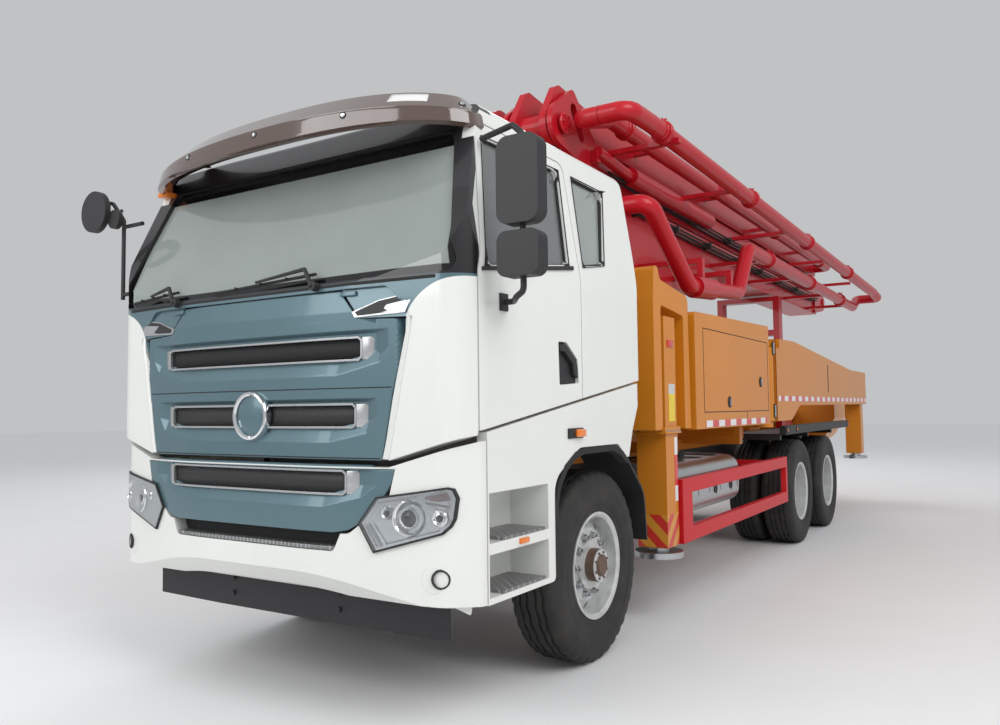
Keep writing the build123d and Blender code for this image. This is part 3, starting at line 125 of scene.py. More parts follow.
class Shader:
    """One material and its nodes."""

    def __init__(self, name):
        self.material = bpy.data.materials.new(name)
        self.material.use_nodes = True
        self.tree = self.material.node_tree
        self.tree.nodes.clear()
        self.spot = self.node("ShaderNodeTexCoord", output="Object")
        split = self.tree.nodes.new("ShaderNodeSeparateXYZ")
        self.tree.links.new(self.spot.socket, split.inputs[0])
        self.x, self.y, self.z = (Wire(self, out) for out in split.outputs)

    def node(self, kind, settings=None, inputs=None, output=0):
        """Any node: its settings first, then the values or links of its sockets."""
        made = self.tree.nodes.new(kind)
        for key, value in (settings or {}).items():
            if key == "stops":
                stops = made.color_ramp.elements
                for index, (place, colour) in enumerate(value):
                    stop = stops[index] if index < 2 else stops.new(place)
                    stop.position, stop.color = place, colour
            else:
                setattr(made, key, value)
        for key, value in (inputs or {}).items():
            socket = made.inputs[key]
            if isinstance(value, Wire):
                self.tree.links.new(value.socket, socket)
            elif isinstance(value, tuple) and len(value) == 3 and socket.type == "RGBA":
                socket.default_value = (*value, 1)
            else:
                socket.default_value = value
        return Wire(self, made.outputs[output])

    def noise(self, scale, detail=4.0, stretch=(1, 1, 1), roughness=0.55):
        """Soft noise from 0 to 1 on the piece's own place."""
        place = self.node("ShaderNodeMapping", {}, {"Vector": self.spot, "Scale": stretch})
        return self.node("ShaderNodeTexNoise", {}, {"Vector": place, "Scale": scale, "Detail": detail,
                                                    "Roughness": roughness})

    def step(self, value, low, high):
        """0 below low, 1 above high, even between."""
        return self.node("ShaderNodeMapRange", {"clamp": True}, {"Value": value, "From Min": low, "From Max": high})

    def between(self, value, low, high, soft=0.001):
        return self.step(value, low - soft, low + soft) * (1 - self.step(value, high - soft, high + soft))

    def mix(self, share, first, second):
        """Colour between two colours."""
        return self.node("ShaderNodeMix", {"data_type": "RGBA"}, {0: share, 6: first, 7: second}, output=2)

    def bump(self, height, strength, distance=0.002, normal=None):
        inputs = {"Height": height, "Strength": strength, "Distance": distance}
        if normal is not None:
            inputs["Normal"] = normal
        return self.node("ShaderNodeBump", {}, inputs)

    def soft_edges(self, radius):
        return self.node("ShaderNodeBevel", {"samples": 3}, {"Radius": radius})

    def finish(self, color, rough, metallic=0.0, normal=None, coat=0.0, coat_rough=0.05, **more):
        """Principled surface as the material's output; returns its wire."""
        inputs = {"Base Color": color, "Roughness": rough, "Metallic": metallic, "Coat Weight": coat,
                  "Coat Roughness": coat_rough}
        if normal is not None:
            inputs["Normal"] = normal
        inputs.update({key.replace("_", " "): value for key, value in more.items()})
        surface = self.node("ShaderNodeBsdfPrincipled", {}, inputs)
        self.out(surface)
        return surface

    def out(self, surface):
        for node in [n for n in self.tree.nodes if n.type == "OUTPUT_MATERIAL"]:
            self.tree.nodes.remove(node)
        end = self.tree.nodes.new("ShaderNodeOutputMaterial")
        self.tree.links.new(surface.socket, end.inputs["Surface"])


def paint(name, colour, rough=0.32, dust=0.35, dust_top=1.6, dust_colour=(0.42, 0.37, 0.3), flake=0.0, coat=0.6,
          shine=0.5):
    """Sprayed paint: faint orange peel, slow fading, road dust low down and softly rounded edges."""
    s = Shader(name)
    cloud = s.noise(1.3, 3)
    fine = s.noise(38, 6)
    streak = s.noise(9, 4, (1, 1, 0.12))
    faded = s.mix(s.step(cloud, 0.35, 0.75) * 0.5, colour, tuple(min(1, c * 1.1 + 0.01) for c in colour))
    low = (1 - s.step(s.z, 0.3, dust_top)) * s.step(fine * 0.5 + cloud * 0.5, 0.3, 0.72)
    grime = (low * dust + s.step(streak, 0.6, 0.8) * dust * 0.22).least(0.7)
    tint = s.mix(grime, faded, dust_colour)
    peel = s.bump(s.noise(210, 2), 0.05, 0.0006, s.soft_edges(0.005))
    s.finish(tint, grime * 0.5 + (cloud * 0.06 + rough - 0.03), flake, peel, coat, Specular_IOR_Level=shine)
    return s.material


def cab_shell_material():
    """White paint, blue beside the front panel's upper corners, black pillars at the screen."""
    s = Shader("cab_shell_paint")
    cloud, fine = s.noise(1.3, 3), s.noise(38, 6)
    white = s.mix(s.step(cloud, 0.35, 0.75) * 0.5, (0.72, 0.73, 0.695), (0.79, 0.8, 0.765))
    white = s.mix((1 - s.step(s.z, 0.3, 1.4)) * fine * 0.1, white, (0.42, 0.37, 0.3))
    across = (1.236 - abs(s.y)) / 0.301
    rise = (s.z - 1.8) / 0.225
    round_corner = 1 - s.step(across * across + rise * rise, 0.99, 1.01)
    panel_edge = (0.812 + (s.z - 1.216) * 0.2213).least(0.938)
    cheek = round_corner.most(s.step(abs(s.y) - panel_edge, 0.0, 0.001) * (1 - s.step(s.z, 1.799, 1.801)))
    blue = (1 - cheek) * s.step(s.x, 5.99, 5.995) * s.step(s.z, 1.5, 1.51)
    flakes = s.noise(900, 2)
    tone = s.mix(s.step(cloud, 0.3, 0.8) * 0.4 + flakes * 0.15, BLUE, BLUE_LIGHT)
    door_edge = 5.984 - (s.z - 2.36).most(0.0) * 0.394
    pillar = s.between(s.z, 2.037, 2.79) * s.step(s.x - door_edge, 0.0, 0.001)
    header = s.step(s.x, 5.7, 5.701) * s.step(s.z, 2.74, 2.741) * (1 - s.step(abs(s.y), 1.13, 1.131))
    tint = s.mix(pillar.most(header), s.mix(blue, white, tone), (0.012, 0.011, 0.013))
    peel = s.bump(s.noise(210, 2), 0.05, 0.0006, s.soft_edges(0.005))
    s.finish(tint, cloud * 0.06 + 0.27, blue * 0.3, peel, 0.55)
    return s.material


BLUE, BLUE_LIGHT = (0.085, 0.155, 0.182), (0.125, 0.205, 0.232)


def build_materials():
    made = {}
    made["cab_shell_paint"] = cab_shell_material()
    made["cab_white"] = paint("cab_white", (0.72, 0.73, 0.695), 0.3, 0.12, 1.4)
    made["boom_red"] = paint("boom_red", (0.44, 0.004, 0.012), 0.34, 0.08, 2.2, (0.24, 0.07, 0.06), coat=0.2, shine=0.25)
    made["body_orange"] = paint("body_orange", (0.57, 0.195, 0.01), 0.36, 0.14, 1.6, coat=0.2, shine=0.25)
    made["guard_red"] = paint("guard_red", (0.52, 0.005, 0.012), 0.4, 0.05, 1.0, coat=0.08, shine=0.2)
    made["frame_black"] = paint("frame_black", (0.018, 0.018, 0.02), 0.5, 0.4, 1.5, (0.16, 0.14, 0.12), coat=0.1)
    made["grey"] = paint("grey", (0.12, 0.125, 0.13), 0.5, 0.3, 1.5, coat=0.1)

    s = Shader("panel_blue")
    flakes = s.noise(900, 2)
    cloud = s.noise(1.7, 3)
    colour = s.mix(s.step(cloud, 0.3, 0.8) * 0.4 + flakes * 0.15, BLUE, BLUE_LIGHT)
    s.finish(colour, flakes * 0.12 + 0.27, 0.35, s.bump(flakes, 0.03, 0.0004, s.soft_edges(0.005)), 0.35)
    made["panel_blue"] = s.material

    s = Shader("cast")
    grain = s.noise(60, 8)
    rust = s.step(s.noise(6, 6), 0.5, 0.75)
    s.finish(s.mix(rust * 0.6, (0.05, 0.047, 0.045), (0.13, 0.075, 0.045)), 0.62 + rust * 0.2, 0.4,
             s.bump(grain, 0.35, 0.003))
    made["cast"] = s.material

    s = Shader("trim")
    grain = s.noise(420, 3)
    s.finish(s.mix(s.noise(3), (0.012, 0.012, 0.013), (0.022, 0.022, 0.024)), grain * 0.2 + 0.42, 0,
             s.bump(grain, 0.18, 0.0008, s.soft_edges(0.004)))
    made["trim"] = s.material

    s = Shader("rubber")
    grain = s.noise(150, 4)
    s.finish(s.mix(grain, (0.01, 0.01, 0.01), (0.022, 0.021, 0.02)), 0.7 + grain * 0.15, 0, s.bump(grain, 0.2, 0.001))
    made["rubber"] = s.material

    made["tyre"] = tyre_material()
    made["rim"] = wheel_material("rim", (0.6, 0.61, 0.61), 0.3, 0.38)
    s = Shader("steel")
    brushed = s.noise(26, 5, (0.05, 1, 1))
    s.finish(s.mix(brushed, (0.42, 0.43, 0.44), (0.6, 0.61, 0.62)), brushed * 0.18 + 0.22, 1.0,
             s.bump(brushed, 0.06, 0.0008))
    made["steel"] = s.material
    s = Shader("chrome")
    haze = s.noise(12, 4)
    s.finish(s.mix(haze, (0.72, 0.73, 0.74), (0.86, 0.87, 0.88)), haze * 0.08 + 0.06, 1.0)
    made["chrome"] = s.material
    s = Shader("mirror")
    haze = s.noise(5, 3)
    s.finish(s.mix(haze, (0.68, 0.7, 0.72), (0.75, 0.77, 0.79)), haze * 0.03 + 0.02, 1.0)
    made["mirror"] = s.material
    s = Shader("cabin")
    grain = s.noise(300, 3)
    s.finish(s.mix(s.noise(2), (0.16, 0.16, 0.165), (0.22, 0.22, 0.22)), 0.6 + grain * 0.1, 0,
             s.bump(grain, 0.15, 0.001))
    made["cabin"] = s.material
    made["fabric"] = seat_material()
    # windscreen: the light grey-green, mostly opaque tint is a painted reflection of the sky; the black band at its rim
    # is the pane's own print
    made["glass"] = glass_material("glass", (0.4, 0.445, 0.425), 0.66, 0.03, screen=True)
    made["side_glass"] = glass_material("side_glass", (0.24, 0.26, 0.26), 0.55, 0.03)
    made["smoked"] = glass_material("smoked", (0.11, 0.07, 0.058), 0.86, 0.1)
    made["lens"] = glass_material("lens", (0.75, 0.77, 0.78), 0.06, 0.04)
    for name, colour in (("amber", (0.85, 0.2, 0.01)), ("red_lens", (0.6, 0.01, 0.01)), ("white_lens", (0.8, 0.8, 0.78))):
        s = Shader(name)
        ribs = ((s.y * 520).sine() + (s.z * 520).sine()) * 0.25 + 0.5
        s.finish(s.mix(ribs * 0.35, colour, tuple(c * 0.55 for c in colour)), ribs * 0.1 + 0.12, 0,
                 s.bump(ribs, 0.25, 0.001), 0.5)
        made[name] = s.material
    made["lamp"] = made["white_lens"]
    made["mesh"] = wire_mesh_material()
    # near black: dark joints between parts, and painted shade where it fills the inside of an opening or recess
    s = Shader("void")
    grain = s.noise(40, 3)
    s.finish(s.mix(grain, (0.004, 0.004, 0.005), (0.01, 0.01, 0.011)), 0.6 + grain * 0.2)
    made["void"] = s.material
    made["tread_plate"] = tread_plate_material()
    made["hazard_strip"] = strip_material("hazard_strip", "x", 0.3)
    made["leg_strip"] = strip_material("leg_strip", "z", 0.42, 0.115)
    made["leg_stripes"] = diagonal_material()
    made["label"] = label_material()
    made["bare_label"] = made["label"]
    return made


def tyre_material():
    """Rubber with fine grain and patches of dust."""
    s = Shader("tyre")
    grain = s.noise(240, 4)
    dirt = s.step(s.noise(7, 6), 0.45, 0.75)
    colour = s.mix(dirt * 0.35 + grain * 0.1, (0.012, 0.012, 0.012), (0.075, 0.066, 0.056))
    s.finish(colour, grain * 0.1 + dirt * 0.1 + 0.62, 0, s.bump(grain, 0.25, 0.0012))
    return s.material


def wheel_material(name, colour, rough, metal):
    """Silver wheel paint with brake dust and small chips."""
    s = Shader(name)
    dust = s.step(s.noise(11, 6), 0.42, 0.8)
    chips = s.step(s.noise(95, 3), 0.7, 0.74)
    tint = s.mix(dust * 0.4, colour, (0.2, 0.17, 0.14))
    tint = s.mix(chips * 0.7, tint, (0.14, 0.09, 0.06))
    s.finish(tint, dust * 0.25 + rough, metal, s.bump(s.noise(120, 3), 0.08, 0.0008, s.soft_edges(0.003)), 0.2)
    return s.material


def seat_material():
    """Woven seat cloth."""
    s = Shader("fabric")
    weave = (s.x * 2200).sine() * (s.y * 2200).sine() + (s.z * 2200).sine()
    s.finish(s.mix(s.step(weave, -0.5, 0.8), (0.05, 0.052, 0.06), (0.1, 0.1, 0.11)), 0.85, 0,
             s.bump(weave, 0.3, 0.001))
    return s.material


def glass_material(name, tint, body, rough, screen=False):
    """Thin pane: part see-through, part tinted reflecting surface; a screen has a black band at its rim."""
    s = Shader(name)
    haze = s.noise(2.2, 3)
    clear = s.node("ShaderNodeBsdfTransparent", {}, {"Color": tuple(0.55 + 0.45 * c for c in tint)})
    surface = s.node("ShaderNodeBsdfPrincipled", {}, {
        "Base Color": s.mix(haze, tint, tuple(c * 0.8 for c in tint)), "Roughness": haze * 0.03 + rough,
        "Coat Weight": 1.0, "Coat Roughness": 0.02})
    share = s.node("ShaderNodeFresnel", {}, {"IOR": 1.5}) * 0.8 + body
    if screen:
        side = abs(s.y) + s.step(s.z, 2.05, 2.77) * 0.06
        band = s.step(side, 1.148, 1.152).most(s.step(s.z, 2.682, 2.686)).most(1 - s.step(s.z, 2.082, 2.086))
        band = band * s.step(s.x, 5.75, 5.76)
        black = s.node("ShaderNodeBsdfPrincipled", {}, {"Base Color": (0.006, 0.006, 0.007), "Roughness": 0.12})
        surface = s.node("ShaderNodeMixShader", {}, {0: band, 1: surface, 2: black})
        share = share.most(band)
    s.out(s.node("ShaderNodeMixShader", {}, {0: share.least(1.0), 1: clear, 2: surface}))
    return s.material


def wire_mesh_material():
    """Black expanded mesh: diamonds cut out of the sheet."""
    s = Shader("mesh")
    u, v = s.y * 42 + s.z * 84, s.y * 42 - s.z * 84
    edge = abs((u % 1.0) - 0.5).most(abs((v % 1.0) - 0.5))
    wire = s.step(edge, 0.36, 0.4)
    s.finish(s.mix(wire, (0.003, 0.003, 0.003), (0.05, 0.05, 0.052)), 0.5, 0, s.bump(wire, 0.8, 0.004))
    return s.material


def tread_plate_material():
    """Checker plate: short raised bars in two directions."""
    s = Shader("tread_plate")
    u, v = s.x * 38 + s.y * 38, s.x * 38 - s.y * 38
    bar_a = s.between(u % 1.0, 0.36, 0.64, 0.05) * s.between(v % 2.0, 0.15, 0.85, 0.05)
    bar_b = s.between(v % 1.0, 0.36, 0.64, 0.05) * s.between(u % 2.0, 1.15, 1.85, 0.05)
    bars = bar_a.most(bar_b)
    dirt = s.noise(14, 5)
    s.finish(s.mix(bars * 0.6 + dirt * 0.2, (0.2, 0.2, 0.2), (0.62, 0.63, 0.64)), dirt * 0.2 + 0.3, 0.8,
             s.bump(bars, 0.7, 0.003))
    return s.material


def strip_material(name, axis, pitch, start=0.0):
    """Reflecting strip, red and white in turn."""
    s = Shader(name)
    along = getattr(s, axis)
    red = s.step((along + 20 - start) % pitch, pitch / 2 - 0.001, pitch / 2 + 0.001)
    cells = ((s.x * 900).sine() * (s.z * 900).sine()) * 0.5 + 0.5
    s.finish(s.mix(red, s.mix(cells * 0.2, (0.75, 0.75, 0.73), (0.55, 0.55, 0.55)), (0.6, 0.02, 0.02)),
             cells * 0.15 + 0.25, 0, s.bump(cells, 0.1, 0.0005), 0.4)
    return s.material


def diagonal_material():
    """Red and orange stripes at the foot of a leg."""
    s = Shader("leg_stripes")
    red = s.step((s.x + s.y + s.z * 1.0 + 20) % 0.16, 0.079, 0.081)
    s.finish(s.mix(red, (0.6, 0.26, 0.03), (0.55, 0.03, 0.02)), s.noise(30) * 0.2 + 0.3, 0, None, 0.3)
    return s.material


def label_material():
    """Blank sticker, yellow with a pale head."""
    s = Shader("label")
    grime = s.step(s.noise(20, 4), 0.5, 0.8)
    head = s.step(s.z, 1.53, 1.532)
    s.finish(s.mix(grime * 0.3, s.mix(head, (0.75, 0.55, 0.03), (0.55, 0.55, 0.55)), (0.3, 0.25, 0.2)),
             grime * 0.2 + 0.35)
    return s.material


MATERIALS = build_materials()
SLOT_NAMES = {entry["slot"] for entry in frame["record"]["materials"]}
FINISH_OF = {entry["node"]: entry["material_slot"] for entry in frame["record"]["subparts"]}
for node_name, shown in NODES.items():
    finish_name = {"door_glass_left": "side_glass", "door_glass_right": "side_glass",
                   "cab_shell": "cab_shell_paint"}.get(node_name, FINISH_OF[node_name])
    for slot in shown.material_slots:
        slot.material = MATERIALS[finish_name]


# ------------------------------------------------------------------ shaping helpers

AXES = {"x": Vector((1, 0, 0)), "y": Vector((0, 1, 0)), "z": Vector((0, 0, 1))}


def aim(direction):
    """Rotation that turns +Z to a direction."""
    return Vector(direction).to_track_quat("Z", "Y").to_matrix().to_4x4()


def add_block(bm, low, high, bevel=0.0, segments=2):
    """Block between two corners, its edges rounded."""
    low, high = Vector(low), Vector(high)
    size = high - low
    place = Matrix.Translation((low + high) / 2) @ Matrix.Diagonal((*size, 1))
    verts = bmesh.ops.create_cube(bm, size=1, matrix=place)["verts"]
    if bevel:
        edges = list({edge for vert in verts for edge in vert.link_edges})
        bmesh.ops.bevel(bm, geom=edges, offset=bevel, segments=segments, profile=0.5, affect="EDGES", material=-1)


def add_bar(bm, start, end, radius, segments=24, radius_end=None):
    """Round bar or cone between two points."""
    start, end = Vector(start), Vector(end)
    span = end - start
    place = Matrix.Translation((start + end) / 2) @ aim(span)
    bmesh.ops.create_cone(bm, cap_ends=True, segments=segments, radius1=radius,
                          radius2=radius if radius_end is None else radius_end, depth=span.length, matrix=place)


def add_prism(bm, points, axis, low, high, bevel=0.0, segments=2):
    """Flat outline given in the two other axes, pulled from low to high along an axis."""
    order = {"x": lambda u, v: (low, u, v), "y": lambda u, v: (u, low, v), "z": lambda u, v: (u, v, low)}[axis]
    verts = [bm.verts.new(order(u, v)) for u, v in points]
    face = bm.faces.new(verts)
    made = bmesh.ops.extrude_face_region(bm, geom=[face])["geom"]
    moved = [part for part in made if isinstance(part, bmesh.types.BMVert)]
    bmesh.ops.translate(bm, vec=AXES[axis] * (high - low), verts=moved)
    body = list({f for vert in verts + moved for f in vert.link_faces})
    bmesh.ops.recalc_face_normals(bm, faces=body)
    if bevel:
        edges = list({edge for vert in verts + moved for edge in vert.link_edges})
        bmesh.ops.bevel(bm, geom=edges, offset=bevel, segments=segments, profile=0.5, affect="EDGES", material=-1)


def add_lathe(bm, profile, centre, axis, steps=48, closed=True):
    """Outline of (radius, along) points spun round an axis through a centre."""
    centre, axis = Vector(centre), Vector(axis).normalized()
    turn = aim(axis)
    verts = [bm.verts.new(Matrix.Translation(centre) @ turn @ Vector((r, 0, t))) for r, t in profile]
    edges = [bm.edges.new(ends) for ends in zip(verts, verts[1:] + ([verts[0]] if closed else verts[:0]))]
    made = bmesh.ops.spin(bm, geom=verts + edges, cent=centre, axis=axis, angle=2 * math.pi, steps=steps,
                          use_merge=True)
    done = {f for part in made["geom_last"] if isinstance(part, bmesh.types.BMVert) for f in part.link_faces}
    return done


def add_ring(bm, centre, axis, inner, outer, thick, steps=32, round_edge=0.0):
    """Flat ring of square section, its middle plane at the centre."""
    h, r = thick / 2, min(round_edge, thick / 2)
    profile = [(inner, -h), (outer - r, -h), (outer, -h + r), (outer, h - r), (outer - r, h), (inner, h)]
    if not r:
        profile = [(inner, -h), (outer, -h), (outer, h), (inner, h)]
    add_lathe(bm, profile, centre, axis, steps)


def make_piece(name, body, shape, finish, bevel=0.0, smooth=35, slot=None):
    """Turns a bmesh into a named piece that rides on a body."""
    bmesh.ops.remove_doubles(shape, verts=shape.verts, dist=1e-5)
    bmesh.ops.recalc_face_normals(shape, faces=shape.faces)
    mesh = bpy.data.meshes.new(name)
    shape.to_mesh(mesh)
    shape.free()
    for face in mesh.polygons:
        face.use_smooth = True
    mesh.set_sharp_from_angle(angle=math.radians(smooth))
    mesh.materials.append(MATERIALS[finish])
    piece = bpy.data.objects.new(name, mesh)
    bpy.context.scene.collection.objects.link(piece)
    if bevel:
        rounder = piece.modifiers.new("rounder", "BEVEL")
        rounder.width, rounder.segments, rounder.limit_method = bevel, 2, "ANGLE"
        rounder.harden_normals = True
    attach(piece, body)
    slot = slot or finish
    slot in SLOT_NAMES
    return piece


def hose(name, body, points, radius, finish="rubber"):
    """Clamped line through some points, as a smooth curve with a round section."""
    curve = bpy.data.curves.new(name, "CURVE")
    curve.dimensions = "3D"
    curve.bevel_depth, curve.bevel_resolution, curve.resolution_u, curve.use_fill_caps = radius, 3, 6, True
    line = curve.splines.new("NURBS")
    line.points.add(len(points) - 1)
    for point, place in zip(line.points, points):
        point.co = (*place, 1)
    line.order_u, line.use_endpoint_u = 3, True
    curve.materials.append(MATERIALS[finish])
    piece = bpy.data.objects.new(name, curve)
    bpy.context.scene.collection.objects.link(piece)
    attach(piece, body)
    return piece


def mirrored(shape):
    """Adds the other side's copy of everything in a bmesh."""
    bmesh.ops.mirror(shape, geom=shape.verts[:] + shape.edges[:] + shape.faces[:], merge_dist=-1, axis="Y")


class Skin:
    """Outer surface of some CAD nodes, to seat thin pieces on it."""

    def __init__(self, *nodes):
        self.trees = [BVHTree.FromPolygons([v.co for v in NODES[n].data.vertices],
                                           [tuple(p.vertices) for p in NODES[n].data.polygons]) for n in nodes]

    def reach(self, origin, direction):
        hits = [tree.ray_cast(Vector(origin), Vector(direction)) for tree in self.trees]
        hits = [hit for hit in hits if hit[0] is not None]
        return min(hits, key=lambda hit: hit[3])[0] if hits else None


def contour(skin, z, half=1.24, count=125):
    """How far forward a skin stands at one height, as a function of y."""
    known = []
    for index in range(count):
        y = -half + 2 * half * index / (count - 1)
        hit = skin.reach((8, y, z), (-1, 0, 0))
        known.append((y, hit.x if hit else None))
    known = [pair for pair in known if pair[1] is not None]

    def at(y):
        if y <= known[0][0]:
            return known[0][1]
        for (y0, x0), (y1, x1) in zip(known, known[1:]):
            if y <= y1:
                return x0 + (x1 - x0) * (y - y0) / (y1 - y0)
        return known[-1][1]
    return at


def drape(shape, front):
    """Moves a shape made round X = 0 onto the front skin."""
    for vert in shape.verts:
        vert.co.x += front(vert.co.y)


CAB_NOSE = contour(Skin("front_flap", "cab_shell"), 1.56)
CHIN_NOSE = contour(Skin("lower_grille", "bumper"), 1.0)
BUMPER_NOSE = contour(Skin("bumper"), 0.76)


def outline_ring(points, grow):
    """Outline offset outwards by grow; corners stay mitred."""
    count = len(points)
    area = sum(points[i][0] * points[(i + 1) % count][1] - points[(i + 1) % count][0] * points[i][1]
               for i in range(count))
    out = []
    for i in range(count):
        before, here, after = (Vector(points[j % count]) for j in (i - 1, i, i + 1))
        one, two = (here - before).normalized(), (after - here).normalized()
        normal = Vector((one.y, -one.x)) + Vector((two.y, -two.x))
        normal *= (1 if area > 0 else -1) / max(0.3, 1 + one.dot(two))
        out.append(tuple(here + normal * grow))
    return out


def absorb(shape, own):
    """Adds one bmesh to another and frees it."""
    part = bpy.data.meshes.new("part")
    own.to_mesh(part)
    own.free()
    shape.from_mesh(part)
    bpy.data.meshes.remove(part)


def add_frame(bm, points, width, axis, low, high, splits=1):
    """Flat frame round an outline, width wide, standing from low to high along an axis."""
    outer, own = outline_ring(points, width), bmesh.new()
    ring = [Vector(a).lerp(Vector(b), k / splits) for a, b in zip(outer, outer[1:] + outer[:1]) for k in range(splits)]
    order = {"x": lambda u, v: (low, u, v), "y": lambda u, v: (u, low, v)}[axis]
    face = own.faces.new([own.verts.new(order(*point)) for point in ring])
    own.normal_update()
    bmesh.ops.inset_region(own, faces=[face], thickness=width, use_even_offset=True, use_boundary=True)
    bmesh.ops.delete(own, geom=[face], context="FACES_ONLY")
    made = bmesh.ops.extrude_face_region(own, geom=own.faces[:])["geom"]
    bmesh.ops.translate(own, vec=AXES[axis] * (high - low), verts=[v for v in made if isinstance(v, bmesh.types.BMVert)])
    absorb(bm, own)


# ------------------------------------------------------------------ camera, light and floor

def studio():
    eye = Vector((8.984, 3.256, 1.441))
    turn, tilt, roll = math.radians(32.451), math.radians(3.235), math.radians(-0.63)
    level = Vector((-math.cos(turn), -math.sin(turn), 0))
    right = Vector((-math.sin(turn), math.cos(turn), 0))
    up = Vector((0, 0, 1))
    ahead = level * math.cos(tilt) + up * math.sin(tilt)
    rise = -level * math.sin(tilt) + up * math.cos(tilt)
    side = right * math.cos(roll) + rise * math.sin(roll)
    head = -right * math.sin(roll) + rise * math.cos(roll)
    camera = bpy.data.objects.new("camera", bpy.data.cameras.new("camera"))
    camera.data.lens, camera.data.sensor_width = 29.664, 36
    camera.matrix_world = Matrix((
        (side.x, head.x, -ahead.x, eye.x), (side.y, head.y, -ahead.y, eye.y),
        (side.z, head.z, -ahead.z, eye.z), (0, 0, 0, 1)))
    bpy.context.scene.collection.objects.link(camera)
    bpy.context.scene.camera = camera

    for name, place, size, energy in (("key", (8, 9, 9), 7, 760), ("front", (13, -3, 6), 6, 360),
                                      ("back", (-9, -8, 9), 8, 600)):
        light = bpy.data.lights.new(name, "AREA")
        light.size, light.energy = size, energy
        lamp = bpy.data.objects.new(name, light)
        lamp.matrix_world = Matrix.Translation(place) @ aim(Vector(place) - Vector((0, 0, 1.5)))
        bpy.context.scene.collection.objects.link(lamp)

    floor_shape = bmesh.new()
    bmesh.ops.create_grid(floor_shape, x_segments=1, y_segments=1, size=60)
    mesh = bpy.data.meshes.new("floor")
    floor_shape.to_mesh(mesh)
    floor_shape.free()
    floor = bpy.data.objects.new("floor", mesh)
    bpy.context.scene.collection.objects.link(floor)
    s = Shader("floor")
    grain = s.noise(1.5, 4)
    s.finish(s.mix(grain, (0.71, 0.71, 0.71), (0.75, 0.75, 0.75)), 0.85)
    mesh.materials.append(s.material)

    world = bpy.data.worlds.new("studio")
    world.use_nodes = True
    tree = world.node_tree
    tree.nodes.clear()
    ray = tree.nodes.new("ShaderNodeLightPath")
    seen = tree.nodes.new("ShaderNodeMath")
    seen.operation = "MAXIMUM"
    tree.links.new(ray.outputs["Is Camera Ray"], seen.inputs[0])
    tree.links.new(ray.outputs["Is Glossy Ray"], seen.inputs[1])
    seen_two = tree.nodes.new("ShaderNodeMath")
    seen_two.operation = "MAXIMUM"
    tree.links.new(seen.outputs[0], seen_two.inputs[0])
    tree.links.new(ray.outputs["Is Transmission Ray"], seen_two.inputs[1])
    soft, pale = tree.nodes.new("ShaderNodeBackground"), tree.nodes.new("ShaderNodeBackground")
    soft.inputs[0].default_value, soft.inputs[1].default_value = (0.95, 0.97, 1, 1), 0.72
    pale.inputs[0].default_value, pale.inputs[1].default_value = (0.53, 0.54, 0.55, 1), 1
    blend = tree.nodes.new("ShaderNodeMixShader")
    tree.links.new(seen_two.outputs[0], blend.inputs[0])
    tree.links.new(soft.outputs[0], blend.inputs[1])
    tree.links.new(pale.outputs[0], blend.inputs[2])
    end = tree.nodes.new("ShaderNodeOutputWorld")
    tree.links.new(blend.outputs[0], end.inputs[0])
    bpy.context.scene.world = world
    bpy.context.scene.view_settings.view_transform = "Standard"


# ------------------------------------------------------------------ wheels

TYRE_WALL = [(0.286, 0.118), (0.32, 0.138), (0.34, 0.137), (0.345, 0.142), (0.40, 0.148), (0.415, 0.146),
             (0.422, 0.149), (0.455, 0.149), (0.47, 0.146), (0.5, 0.1425), (0.517, 0.138), (0.53, 0.128), (0.538, 0.116)]
RIBS = ((0.100, 0.078), (0.060, 0.036), (0.018, -0.018), (-0.036, -0.060), (-0.078, -0.100))


def tyre_profile():
    """Wall, shoulder and ribbed crown of a tyre, as (radius, along)."""
    crown = []
    for near, far in RIBS:
        crown += [(0.541, near), (0.541, far)]
        if far > -0.1:
            crown += [(0.529, far - 0.003), (0.529, far - 0.0145)]
    return TYRE_WALL + crown + [(r, -t) for r, t in reversed(TYRE_WALL)]


def add_tyre(shape, centre):
    """Tyre with notched shoulders and zigzag ribs."""
    own = bmesh.new()
    steps = 120
    verts = [own.verts.new((r, t, 0)) for r, t in tyre_profile()]
    edges = [own.edges.new(ends) for ends in zip(verts, verts[1:] + verts[:1])]
    bmesh.ops.spin(own, geom=verts + edges, cent=(0, 0, 0), axis=(0, 1, 0), angle=2 * math.pi, steps=steps,
                   use_merge=True)
    for vert in own.verts:
        radius = math.hypot(vert.co.x, vert.co.z)
        index = round(math.atan2(vert.co.z, vert.co.x) / (2 * math.pi) * steps) % steps
        t = vert.co.y
        pull = 0.0
        if 0.515 < radius and abs(t) > 0.11 and index % 3 == 0:
            pull = 0.012
        if 0.525 < radius and abs(t) < 0.085:
            vert.co.y += (0.0035 if index % 4 < 2 else -0.0035)
        if 0.54 < radius and 0.07 < abs(t) < 0.105 and index % 3 == 0:
            pull = 0.006
        vert.co *= 1
        if pull:
            vert.co.x *= (radius - pull) / radius
            vert.co.z *= (radius - pull) / radius
    bmesh.ops.translate(own, vec=Vector(centre), verts=own.verts)
    bmesh.ops.recalc_face_normals(own, faces=own.faces)
    absorb(shape, own)


